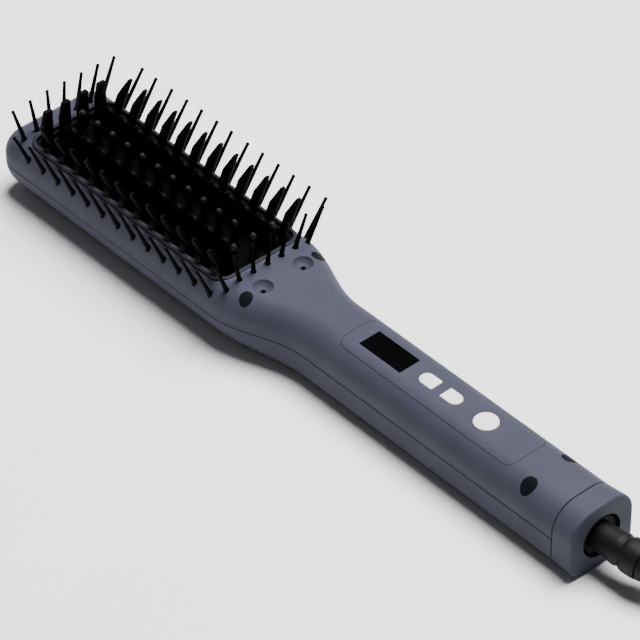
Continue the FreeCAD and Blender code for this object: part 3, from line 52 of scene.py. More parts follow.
Point = tuple[float, float, float]
Flat = tuple[float, float]
Four = tuple[float, float, float, float]
Tree = bpy.types.NodeTree
Socket = bpy.types.NodeSocket
Mesh = bpy.types.Mesh
Object = bpy.types.Object


class Body(str, Enum):
    """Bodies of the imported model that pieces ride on."""

    HOUSING = "housing"
    MINUS = "minus_key"
    PLUS = "plus_key"
    POWER = "power_key"
    SWIVEL = "cord_swivel_body"


class Side(IntEnum):
    """Sides of the brush, as the sign of Y."""

    NEAR = -1
    FAR = 1


class Axis(IntEnum):
    """Axes: X along the brush, Y across it and Z up."""

    X = 0
    Y = 1
    Z = 2


# ---- colour and nodes
def linear(code: str) -> Four:
    """Linear red, green, blue and an alpha of one from an sRGB hex colour such as "#5f636e"."""
    parts = [int(code[i:i + 2], 16) / 255 for i in (1, 3, 5)]
    red, green, blue = (p / 12.92 if p <= 0.04045 else ((p + 0.055) / 1.055) ** 2.4 for p in parts)
    return red, green, blue, 1.0


def add(tree: Tree, kind: str, inputs: dict | None = None, **settings: object) -> bpy.types.Node:
    """Add a node with its settings, socket values and links.

    Args:
        tree: Tree that gets the node.
        kind: Type name of the node.
        inputs: Values or sockets to link, by socket name or number.
        settings: Properties of the node.

    Returns:
        The new node.
    """
    made = tree.nodes.new(kind)
    for key, value in settings.items():
        setattr(made, key, value)
    for key, value in (inputs or {}).items():
        socket = made.inputs[key]
        if isinstance(value, Socket):
            tree.links.new(value, socket)
        else:
            socket.default_value = value
    return made


def per_metre(size: float) -> float:
    """Texture scale whose pattern repeats about every size millimetres."""
    return 1 / (size * MM)


# ---- finishes
@dataclass(frozen=True)
class Finish:
    """Moulded plastic: a base colour with slight clouding and a fine eroded grain.

    The name says what the material is and how its surface was made.
    """

    name: str
    slot: str
    colour: str
    shade: str
    roughness: float = 0.5
    roughness_spread: float = 0.06
    ior: float = 1.5
    metallic: float = 0.0
    cloud: float = 9.0
    grain: float = 0.4
    grain_height: float = 0.004
    sheen: float = 0.0
    coat: float = 0.0
    specular: float = 0.5

    def material(self) -> bpy.types.Material:
        """Material of this finish, made once."""
        found = bpy.data.materials.get(self.name)
        if found:
            return found
        made = bpy.data.materials.new(self.name)
        made.use_nodes = True
        tree = made.node_tree
        tree.nodes.clear()
        place = add(tree, "ShaderNodeTexCoord").outputs["Object"]
        shader = add(tree, "ShaderNodeBsdfPrincipled", {
            "Base Color": self.colouring(tree, place),
            "Roughness": self.roughening(tree, place),
            "Normal": self.relief(tree, place),
            "Metallic": self.metallic,
            "IOR": self.ior,
            "Specular IOR Level": self.specular,
            "Sheen Weight": self.sheen,
            "Sheen Roughness": 0.5,
            "Coat Weight": self.coat,
            "Coat Roughness": 0.08,
        })
        add(tree, "ShaderNodeOutputMaterial", {"Surface": shader.outputs["BSDF"]})
        return made

    def noise(self, tree: Tree, place: Socket, size: float, detail: float = 3.0) -> Socket:
        """Noise with a pattern of a size in millimetres."""
        inputs = {"Vector": place, "Scale": per_metre(size), "Detail": detail, "Roughness": 0.55}
        return add(tree, "ShaderNodeTexNoise", inputs).outputs["Fac"]

    def colouring(self, tree: Tree, place: Socket) -> Socket:
        """Base colour that clouds softly between the colour and its shade, with grain-sized flecks."""
        cloud = self.noise(tree, place, self.cloud)
        fleck = self.noise(tree, place, self.grain, 1.0)
        both = add(tree, "ShaderNodeMath", {0: fleck, 1: 0.45, 2: cloud},
                   operation="MULTIPLY_ADD").outputs[0]
        ramp = add(tree, "ShaderNodeMapRange", {"Value": both, "From Min": 0.5, "From Max": 0.95}).outputs[0]
        return self.blend(tree, ramp)

    def blend(self, tree: Tree, share: Socket) -> Socket:
        """Colour between shade and colour by a share."""
        mix = add(tree, "ShaderNodeMix", {0: share, 6: linear(self.shade), 7: linear(self.colour)},
                  data_type="RGBA")
        return mix.outputs[2]

    def roughening(self, tree: Tree, place: Socket) -> Socket:
        """Roughness that varies a little over the surface."""
        patch = self.noise(tree, place, self.cloud * 0.6)
        low, high = self.roughness - self.roughness_spread, self.roughness + self.roughness_spread
        return add(tree, "ShaderNodeMapRange", {"Value": patch, "From Min": 0.3, "From Max": 0.7,
                                                "To Min": low, "To Max": high}).outputs[0]

    def relief(self, tree: Tree, place: Socket) -> Socket:
        """Bump of the eroded mould surface."""
        return self.bump(tree, self.noise(tree, place, self.grain, 2.0))

    def bump(self, tree: Tree, height: Socket) -> Socket:
        """Normal bent by a height pattern that is as deep as the grain."""
        return add(tree, "ShaderNodeBump", {"Height": height, "Distance": self.grain_height * MM,
                                            "Strength": 1.0}).outputs["Normal"]


@dataclass(frozen=True)
class Plated(Finish):
    """Drawn or plated metal: fine lines along the part and soft stains."""

    line: float = 0.25

    def relief(self, tree: Tree, place: Socket) -> Socket:
        """Bump of the drawing lines, stretched along X."""
        stretched = add(tree, "ShaderNodeMapping", {"Vector": place, "Scale": (0.05, 1.0, 1.0)}).outputs[0]
        return self.bump(tree, self.noise(tree, stretched, self.line, 2.0))


@dataclass(frozen=True)
class Laminate(Finish):
    """Glass-epoxy board: lacquer over a grid of tracks."""

    track: float = 2.54

    def colouring(self, tree: Tree, place: Socket) -> Socket:
        """Lighter tracks on darker lacquer."""
        inputs = {"Vector": place, "Scale": per_metre(self.track), "Color1": (1, 1, 1, 1),
                  "Color2": (1, 1, 1, 1), "Mortar": (0, 0, 0, 1), "Mortar Size": 0.12,
                  "Row Height": 0.5, "Brick Width": 1.7}
        return self.blend(tree, add(tree, "ShaderNodeTexBrick", inputs).outputs["Fac"])


@dataclass(frozen=True)
class PaintedShadeBelow(Finish):
    """Plastic coloured above a level, with painted shade, near black, on all below it."""

    level: float = 23.0
    overlap: float = 0.05
    lower: str = "#050506"

    def blend(self, tree: Tree, share: Socket) -> Socket:
        """Clouded colour above the level and a near-black painted shade below it."""
        upper = super().blend(tree, share)
        place = add(tree, "ShaderNodeTexCoord").outputs["Object"]
        height = add(tree, "ShaderNodeSeparateXYZ", {0: place}).outputs["Z"]
        # painted shade: all below this level takes the near-black colour
        above = add(tree, "ShaderNodeMapRange", {
            "Value": height, "From Min": (self.level - self.overlap) * MM,
            "From Max": (self.level + self.overlap) * MM}).outputs[0]
        mix = add(tree, "ShaderNodeMix", {0: above, 6: linear(self.lower), 7: upper}, data_type="RGBA")
        return mix.outputs[2]


# Two-pack soft-touch coat on moulded ABS: dull, slightly velvety, with a very fine pebble.
SHELL = Finish("soft_touch_coated_abs", "soft_touch_shell", "#383947", "#343541", 0.6, 0.05,
               cloud=14.0, grain=0.45, grain_height=0.006, sheen=0.03, specular=0.12)
# The rim ring is the same grey ABS left uncoated; all below a level, its inner land included, gets painted
# shade in near black, so the bed starts dark.
TRIM = PaintedShadeBelow("grey_abs_over_painted_shade", "grey_trim", "#26272f", "#23242b", 0.5, 0.05, grain=0.4, specular=0.1)
# Glass-filled nylon for bristles and fins: black, satin, with flow marks.
NYLON = Finish("moulded_black_nylon", "black_nylon", "#050506", "#030304", 0.55, 0.08, 1.53,
               cloud=3.0, grain=0.25, grain_height=0.003, specular=0.035)
# Die-cast aluminium under a black ceramic coat: hard satin with fine pits.
COMB = Finish("ceramic_coated_aluminium", "coated_aluminium", "#030304", "#020202", 0.45, 0.07, 1.6,
              cloud=2.5, grain=0.3, grain_height=0.004, specular=0.018)
# Heat-proof liquid crystal polymer tips: dark grey, dull, so each tooth ends in a faint lighter dot.
TIPS = Finish("moulded_grey_polymer", "pale_tip", "#151518", "#121214", 0.5, 0.05, grain=0.25, specular=0.14)
# Buttons of polished white ABS: cool white with a faint cloud and a tight highlight.
KEY = Finish("polished_white_abs", "white_key", "#ebeaf0", "#e2e1e8", 0.3, 0.05, 1.53,
             cloud=4.0, grain=0.5, grain_height=0.001, coat=0.2)
# Smoked acrylic over the display: nearly black, with wiping marks in its roughness.
WINDOW = Finish("polished_smoked_acrylic", "black_window", "#030304", "#010102", 0.05, 0.015, 1.49,
                cloud=5.0, grain=1.2, grain_height=0.0003, specular=0.3)
# Mains cord and strain relief: extruded and moulded soft PVC, brown-black and dull.
CORD = Finish("extruded_soft_pvc", "cord_rubber", "#0f0d10", "#0b0a0c", 0.55, 0.07, 1.52,
              cloud=6.0, grain=0.5, grain_height=0.006, specular=0.14)
# Screw plugs of black elastomer: blue-black and dull, darkened further as painted shade, so the flush plugs
# read as dark recessed round stops.
STOP_PAINTED_SHADE = Finish("black_elastomer_painted_recess_shade", "black_housing_plastic", "#0b0e13", "#080a0e", 0.6, 0.06, 1.5,
              cloud=3.0, grain=0.4, specular=0.05)
# Turned acetal of the swivel hub: black, and made near black and dull as painted shade, so the hole behind
# the strain relief stays dark.
HUB_PAINTED_SHADE = Finish("turned_acetal_painted_shade", "black_housing_plastic", "#060608", "#040405", 0.55, 0.06, 1.48,
             cloud=3.0, grain=0.3, specular=0.04)
# Moulded PBT of the switches and blocks: charcoal and plain.
INNER = Finish("moulded_black_pbt", "black_housing_plastic", "#1c1c1f", "#151517", 0.5, 0.06, grain=0.4)
# Lacquered glass-epoxy: green, with lighter tracks under the lacquer.
BOARD = Laminate("lacquered_glass_epoxy", "circuit_board", "#1d5a33", "#123d22", 0.35, 0.05, 1.5)
# Fired alumina: chalky off-white and dry.
CERAMIC = Finish("fired_alumina", "heater_ceramic", "#d8d4c8", "#cbc6b9", 0.6, 0.08, 1.7, grain=0.3)
# Polyimide film wound round the heater: glossy amber.
FILM = Finish("wound_polyimide_film", "insulating_film", "#b4742a", "#9c6020", 0.28, 0.06, 1.7, cloud=4.0)
# Metals: grey plating, pale rolled sheet and yellow brass, each with the fine lines of its drawing.
ZINC = Plated("zinc_plated_steel", "zinc_steel", "#b9b8b6", "#a7a7a8", 0.32, 0.08, metallic=1.0, cloud=3.0)
SHEET = Plated("rolled_aluminium_sheet", "aluminium_sheet", "#c3c3c6", "#b1b2b5", 0.36, 0.08, metallic=1.0)
BRASS = Plated("drawn_brass", "copper_alloy", "#c8a25a", "#b48f4b", 0.3, 0.08, metallic=1.0, cloud=4.0)
# Extruded silicone round the wires: matt beige.
SLEEVE = Finish("extruded_silicone", "wire_insulation", "#b5b1aa", "#a5a199", 0.55, 0.05, 1.43, grain=0.3)


# ---- meshes and pieces
def piece(name: str, mesh: Mesh, finish: Finish) -> Object:
    """Link a mesh into the scene as an object with its finish."""
    mesh.materials.clear()
    mesh.materials.append(finish.material())
    made = bpy.data.objects.new(name, mesh)
    bpy.context.scene.collection.objects.link(made)
    return made


def from_faces(name: str, points: list[Point], faces: list[tuple[int, ...]], crease: float) -> Mesh:
    """Closed mesh in metres from points in millimetres, smooth up to a crease angle in degrees."""
    made = bpy.data.meshes.new(name)
    made.from_pydata([Vector(p) * MM for p in points], [], faces)
    return tidied(made, crease)


def tidied(mesh: Mesh, crease: float, turn: bool = True) -> Mesh:
    """Merge doubles, point faces outwards where asked, and smooth all but the creases."""
    work = bmesh.new()
    work.from_mesh(mesh)
    bmesh.ops.remove_doubles(work, verts=work.verts, dist=WELD)
    bmesh.ops.dissolve_degenerate(work, edges=work.edges, dist=SLIVER)
    if turn:
        bmesh.ops.recalc_face_normals(work, faces=work.faces)
    for face in work.faces:
        face.smooth = True
    for edge in work.edges:
        edge.smooth = len(edge.link_faces) == 2 and edge.calc_face_angle(0.0) < math.radians(crease)
    work.to_mesh(mesh)
    work.free()
    return mesh


def settle(obj: Object, body: Body, finish: Finish, *nodes: str) -> Object:
    """Let a finished piece ride on its body and stand for CAD nodes."""
    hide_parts(*nodes)
    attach(obj, body.value)
    LOG.info("%s: %s on %s", obj.name, finish.name, body.value)
    return obj


def dressed(node: str, body: Body, finish: Finish) -> Object:
    """Smooth copy of a CAD node in a finish, riding on a body and standing for the node."""
    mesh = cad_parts[node].data.copy()
    mesh.name = f"{node}_skin"
    custom = mesh.attributes.get("custom_normal")
    if custom:
        mesh.attributes.remove(custom)
    tidied(mesh, SOLID_CREASE, turn=False)
    made = piece(f"{node}_skin", mesh, finish)
    even = made.modifiers.new("even_shading", "WEIGHTED_NORMAL")
    even.keep_sharp = True
    return settle(made, body, finish, node)


def rounded(x: Flat, y: Flat, radii: Four, steps: int = 6) -> list[Flat]:
    """Outline of a rectangle with a radius for each corner, anticlockwise from the low X, low Y one."""
    corners = ((x[0], y[0], 1, 1, 180), (x[1], y[0], -1, 1, 270),
               (x[1], y[1], -1, -1, 0), (x[0], y[1], 1, -1, 90))
    points = []
    for (corner_x, corner_y, side_x, side_y, start), radius in zip(corners, radii):
        for step in range(steps + 1):
            angle = math.radians(start + 90 * step / steps)
            points.append((corner_x + side_x * radius + radius * math.cos(angle),
                           corner_y + side_y * radius + radius * math.sin(angle)))
    return points


def stacked(name: str, loops: list[list[Point]], closed: bool = False,
            crease: float = FORM_CREASE) -> Mesh:
    """Skin over loops of equally many points.

    Args:
        name: Name of the mesh.
        loops: Loops of points in order.
        closed: Join the last loop to the first, as on a ring, and leave out the end caps.
        crease: Angle in degrees past which an edge stays sharp.

    Returns:
        The closed mesh.
    """
    count = len(loops[0])
    points = [point for loop in loops for point in loop]
    faces = []
    for low in range(len(loops) if closed else len(loops) - 1):
        high = (low + 1) % len(loops)
        for i in range(count):
            j = (i + 1) % count
            faces.append((low * count + i, low * count + j, high * count + j, high * count + i))
    if not closed:
        faces.append(tuple(range(count)))
        faces.append(tuple((len(loops) - 1) * count + i for i in range(count)))
    return from_faces(name, points, faces, crease)


def turned(name: str, profile: list[Flat], sides: int) -> Mesh:
    """Solid of revolution about Z from radius and height pairs, foot first."""
    ring = [2 * math.pi * i / sides for i in range(sides)]
    loops = [[(r * math.cos(a), r * math.sin(a), z) for a in ring] for r, z in profile]
    return stacked(name, loops)


def ball_end(root: float, tip: float, length: float) -> list[Flat]:
    """Radius and height pairs, foot first, of a tapered pin whose neck ends in a small ball."""
    rings, slim, pole = 6, 0.86, 0.05
    foot, middle, throat = 0.04, 0.55, 2.2
    centre, neck = length - tip, tip * slim
    profile = [(root, 0.0), (root, length * foot), ((root + neck) / 2, length * middle),
               (neck, centre - tip * throat)]
    start = -math.acos(slim)
    for step in range(rings + 1):
        angle = start + (math.pi / 2 - start) * step / rings
        profile.append((tip * max(math.cos(angle), pole), centre + tip * math.sin(angle)))
    return profile


def bevelled(mesh: Mesh, radius: float) -> Mesh:
    """Round a mesh's hard edges by a radius in millimetres."""
    work = bmesh.new()
    work.from_mesh(mesh)
    edges = [edge for edge in work.edges if edge.calc_face_angle(0.0) > math.radians(BEVEL_ANGLE)]
    bmesh.ops.bevel(work, geom=edges, offset=radius * MM, segments=2, profile=0.5, affect="EDGES",
                    clamp_overlap=True)
    work.to_mesh(mesh)
    work.free()
    return tidied(mesh, crease=50.0)


def prism(name: str, outline: list[Flat], depth: Flat, along: Axis, bevel: float) -> Mesh:
    """Upright outline extruded along X or Y from one depth to another, with edges of a radius."""
    loops = [[(w, u, v) if along is Axis.X else (u, w, v) for u, v in outline] for w in depth]
    return bevelled(stacked(name, loops, crease=0.0), bevel)


# ---- rows by Geometry Nodes
@dataclass
class Row:
    """Straight row of equal parts, each aimed along a direction that may fan out."""

    count: int
    start: Point
    step: Point
    aim: Point = (0.0, 0.0, 1.0)
    fan: Point = (0.0, 0.0, 0.0)
    wobble: float = 0.0
    seed: int = 0


class RowTree:
    """Geometry Nodes tree that adds a row of one part to the mesh it is given."""

    SOCKETS = (("Geometry", "Geometry"), ("Part", "Object"), ("Count", "Int"), ("Start", "Vector"),
               ("Step", "Vector"), ("Aim", "Vector"), ("Fan", "Vector"), ("Wobble", "Float"),
               ("Seed", "Int"), ("Material", "Material"))

    def __init__(self) -> None:
        """Build the tree once."""
        self.tree = bpy.data.node_groups.new("row_of_parts", "GeometryNodeTree")
        face = self.tree.interface
        self.keys = {name: face.new_socket(name, in_out="INPUT", socket_type=f"NodeSocket{kind}").identifier
                     for name, kind in self.SOCKETS}
        face.new_socket("Geometry", in_out="OUTPUT", socket_type="NodeSocketGeometry")
        self.wire()

    def wire(self) -> None:
        """Add the nodes: points in a line, a part on each, aimed and realised."""
        tree = self.tree
        given = add(tree, "NodeGroupInput").outputs

        def out(kind: str, inputs: dict | None = None, **settings: object) -> Socket:
            return add(tree, kind, inputs, **settings).outputs[0]

        line = out("GeometryNodeMeshLine", {"Count": given["Count"], "Start Location": given["Start"],
                                            "Offset": given["Step"]}, mode="OFFSET")
        index = out("GeometryNodeInputIndex")
        last = out("ShaderNodeMath", {0: given["Count"], 1: 1.0}, operation="SUBTRACT")
        some = out("ShaderNodeMath", {0: last, 1: 1.0}, operation="MAXIMUM")
        share = out("ShaderNodeMath", {0: index, 1: some}, operation="DIVIDE")
        across = out("ShaderNodeMath", {0: share, 1: 2.0, 2: -1.0}, operation="MULTIPLY_ADD")
        fanned = out("ShaderNodeVectorMath", {0: given["Fan"], "Scale": across}, operation="SCALE")
        way = out("ShaderNodeVectorMath", {0: given["Aim"], 1: fanned}, operation="ADD")
        stray = out("FunctionNodeRandomValue", {0: (-1.0, -1.0, 0.0), 1: (1.0, 1.0, 0.0),
                                                "Seed": given["Seed"]}, data_type="FLOAT_VECTOR")
        shaken = out("ShaderNodeVectorMath", {0: stray, "Scale": given["Wobble"]}, operation="SCALE")
        aimed = out("ShaderNodeVectorMath", {0: way, 1: shaken}, operation="ADD")
        turn = out("FunctionNodeAlignRotationToVector", {"Vector": aimed}, axis="Z", pivot_axis="AUTO")
        part = add(tree, "GeometryNodeObjectInfo", {"Object": given["Part"]}).outputs["Geometry"]
        row = out("GeometryNodeInstanceOnPoints", {"Points": line, "Instance": part, "Rotation": turn})
        real = out("GeometryNodeRealizeInstances", {0: row})
        whole = add(tree, "GeometryNodeJoinGeometry", {0: real})
        tree.links.new(given["Geometry"], whole.inputs[0])
        painted = out("GeometryNodeSetMaterial", {"Geometry": whole.outputs[0],
                                                  "Material": given["Material"]})
        add(tree, "NodeGroupOutput", {0: painted})

    def apply(self, name: str, part: Mesh, rows: list[Row], finish: Finish,
              carrier: Mesh | None = None) -> Object:
        """Make a plain mesh piece of rows of one part.

        Args:
            name: Name of the piece.
            part: The part that repeats, with its foot at the origin.
            rows: The rows of it.
            finish: Material of the whole piece.
            carrier: Mesh that carries the rows, if any.

        Returns:
            The piece, with no modifier left.
        """
        made = piece(name, carrier or bpy.data.meshes.new(name), finish)
        sample = piece(f"{name}_part", part, finish)
        for row in rows:
            modifier = made.modifiers.new("row", "NODES")
            modifier.node_group = self.tree
            values = {
                "Part": sample, "Count": row.count, "Start": [v * MM for v in row.start],
                "Step": [v * MM for v in row.step], "Aim": row.aim, "Fan": row.fan,
                "Wobble": row.wobble, "Seed": row.seed, "Material": finish.material(),
            }
            for key, value in values.items():
                modifier[self.keys[key]] = value
        graph = bpy.context.evaluated_depsgraph_get()
        mesh = bpy.data.meshes.new_from_object(made.evaluated_get(graph))
        made.modifiers.clear()
        made.data = mesh
        bpy.data.objects.remove(sample)
        return made


# ---- studio
@dataclass
class Studio:
    """Pale floor, soft lights and the camera."""

    azimuth: float = 47.96
    elevation: float = 40.97
    distance: float = 1485.62
    aside: float = 84.40
    above: float = -49.35
    centre: float = -121.8
    lens: float = 255.9
    sensor: float = 36.0
    clip: Flat = (0.05, 30.0)
    floor_size: float = 4000.0
    floor_level: float = -0.3
    lamp_place: Point = (0.0, 0.45, 1.52)
    lamp_size: float = 1.1
    lamp_power: float = 86.0
    room_glow: float = 0.1

    def build(self) -> None:
        """Make the stage, the lights and the camera."""
        self.make_camera()
        self.make_floor()
        self.make_lights()

    def make_camera(self) -> None:
        """Long lens that looks down on the brush from its near side."""
        a, e = math.radians(self.azimuth), math.radians(self.elevation)
        right = Vector((math.cos(a), math.sin(a), 0))
        ahead = Vector((-math.sin(a) * math.cos(e), math.cos(a) * math.cos(e), -math.sin(e)))
        up = right.cross(ahead)
        place = Vector((self.centre, 0, 0)) + right * self.aside + up * self.above - ahead * self.distance
        data = bpy.data.cameras.new("camera")
        data.sensor_width, data.lens = self.sensor, self.lens
        data.clip_start, data.clip_end = self.clip
        camera = bpy.data.objects.new("camera", data)
        turn = Matrix((right, up, -ahead)).transposed()
        camera.matrix_world = Matrix.Translation(place * MM) @ turn.to_4x4()
        bpy.context.scene.collection.objects.link(camera)
        bpy.context.scene.camera = camera

    def make_floor(self) -> None:
        """Matt white table top under the brush."""
        half, level = self.floor_size / 2, self.floor_level
        mesh = bpy.data.meshes.new("floor")
        corners = [(-half, -half, level), (half, -half, level), (half, half, level), (-half, half, level)]
        mesh.from_pydata([Vector(c) * MM for c in corners], [], [(0, 1, 2, 3)])
        paper = Finish("matt_white_paper", "", "#f4f4f5", "#f1f1f3", 0.9, 0.03, grain=2.0, cloud=60.0)
        piece("floor", mesh, paper)

    def make_lights(self) -> None:
        """Large round soft light overhead and a faint white room."""
        data = bpy.data.lights.new("overhead", "AREA")
        data.shape = "DISK"
        data.energy, data.size = self.lamp_power, self.lamp_size
        lamp = bpy.data.objects.new("overhead", data)
        lamp.location = self.lamp_place
        lamp.rotation_mode = "QUATERNION"
        lamp.rotation_quaternion = (-Vector(self.lamp_place)).to_track_quat("-Z", "Y")
        bpy.context.scene.collection.objects.link(lamp)
        world = bpy.data.worlds.new("room")
        world.use_nodes = True
        world.node_tree.nodes.clear()
        glow = add(world.node_tree, "ShaderNodeBackground", {"Color": (1.0, 1.0, 1.0, 1.0),
                                                             "Strength": self.room_glow})
        add(world.node_tree, "ShaderNodeOutputWorld", {"Surface": glow.outputs[0]})
        bpy.context.scene.world = world


# ---- housing
@dataclass(frozen=True)
class Seam:
    """Joint line across an axis that shows as a fine V groove between two parts."""

    axis: Axis
    level: float
    half: float
    depth: float
    middle_height: float = 12.0
    least_reach: float = 10.0
    tip_zone: float = 1.0
    steep: float = 0.7

    def spoke(self, place: Vector) -> Vector:
        """Direction from the middle of the part towards a point on the seam."""
        if place.x < (TIP + self.tip_zone) * MM:
            return Vector((-1.0, 0.0, 0.0))
        away = Vector((0.0, place.y, place.z - self.middle_height * MM))
        away[self.axis] = 0.0
        return away

    def ease(self, mesh: Mesh, side: int) -> None:
        """Ease a part's outer edge into its half of the groove; side is 1 above the seam, -1 below."""
        normal = Vector((0.0, 0.0, 0.0))
        normal[self.axis] = 1.0
        work = bmesh.new()
        work.from_mesh(mesh)
        geometry = work.verts[:] + work.edges[:] + work.faces[:]
        bmesh.ops.bisect_plane(work, geom=geometry, plane_co=normal * (self.level + side * self.half) * MM,
                               plane_no=normal, dist=SLIVER)
        moves = {}
        for vert in work.verts:
            spoke = self.spoke(vert.co)
            if abs(vert.co[self.axis] - self.level * MM) > 1e-6 or spoke.length < self.least_reach * MM:
                continue
            outward = Vector((0.0, 0.0, 0.0))
            for face in vert.link_faces:
                if abs(face.normal[self.axis]) < self.steep and face.normal.dot(spoke) > 0:
                    outward += face.normal * face.calc_area()
            outward[self.axis] = 0.0
            if outward.length > 0:
                moves[vert] = outward.normalized()
        for vert, outward in moves.items():
            vert.co -= outward * self.depth * MM
        work.to_mesh(mesh)
        work.free()
        tidied(mesh, SOLID_CREASE, turn=False)


@dataclass
class Housing:
    """Two shells and the end cap with grooves at their seams, screw plugs and the bed rim."""

    parting: Seam = Seam(Axis.Z, 12.0, 0.3, 0.22)
    cap_seam: Seam = Seam(Axis.X, 119.5, 0.28, 0.6)
    bed: Flat = (10.4, 105.6)
    bed_half: float = 17.0
    bed_corner: float = 5.0
    rim_width: float = 2.5
    rim_floor: float = 20.5
    rim_top: float = 23.8
    rim_edge: float = 0.35
    bead_width: float = 1.2
    land_top: float = 22.4
    land_edge: float = 0.1

    def build(self) -> None:
        """Dress the shells, plugs and cap, and make the rim."""
        for node, side in (("upper_housing", 1), ("lower_housing", -1)):
            shell = dressed(node, Body.HOUSING, SHELL)
            self.parting.ease(shell.data, side)
            self.cap_seam.ease(shell.data, -1)
        cap = dressed("end_cap", Body.HOUSING, SHELL)
        self.cap_seam.ease(cap.data, 1)
        # the plugs' dark colour is partly painted shade of a recess they do not have
        dressed("screw_plugs", Body.HOUSING, STOP_PAINTED_SHADE)
        self.make_rim()

    def make_rim(self) -> None:
        """Trim ring round the brush bed: a raised bead with eased edges and a lower inner land."""
        edge, small, steps = self.rim_edge, self.land_edge, 4
        section: list[Flat] = [(0.0, self.rim_floor)]
        for centre, start in ((edge, 180), (self.bead_width - edge, 90)):
            for step in range(steps + 1):
                angle = math.radians(start - 90 * step / steps)
                section.append((centre + edge * math.cos(angle),
                                self.rim_top - edge + edge * math.sin(angle)))
        section += [(self.bead_width, self.land_top + small), (self.bead_width + small, self.land_top),
                    (self.rim_width - small, self.land_top), (self.rim_width, self.land_top - small),
                    (self.rim_width, self.rim_floor)]
        loops = [[(x, y, z) for x, y in self.bed_outline(inset)] for inset, z in section]
        # the rim's inner land below the bead gets painted shade in near black
        rim = piece("bed_rim_skin", stacked("bed_rim_skin", loops, closed=True), TRIM)
        settle(rim, Body.HOUSING, TRIM, "bed_rim")

    def bed_outline(self, inset: float) -> list[Flat]:
        """Outline of the brush bed, shrunk by an inset."""
        span = (TIP + self.bed[0] + inset, TIP + self.bed[1] - inset)
        half = self.bed_half - inset
        return rounded(span, (-half, half), (self.bed_corner - inset,) * 4, 8)


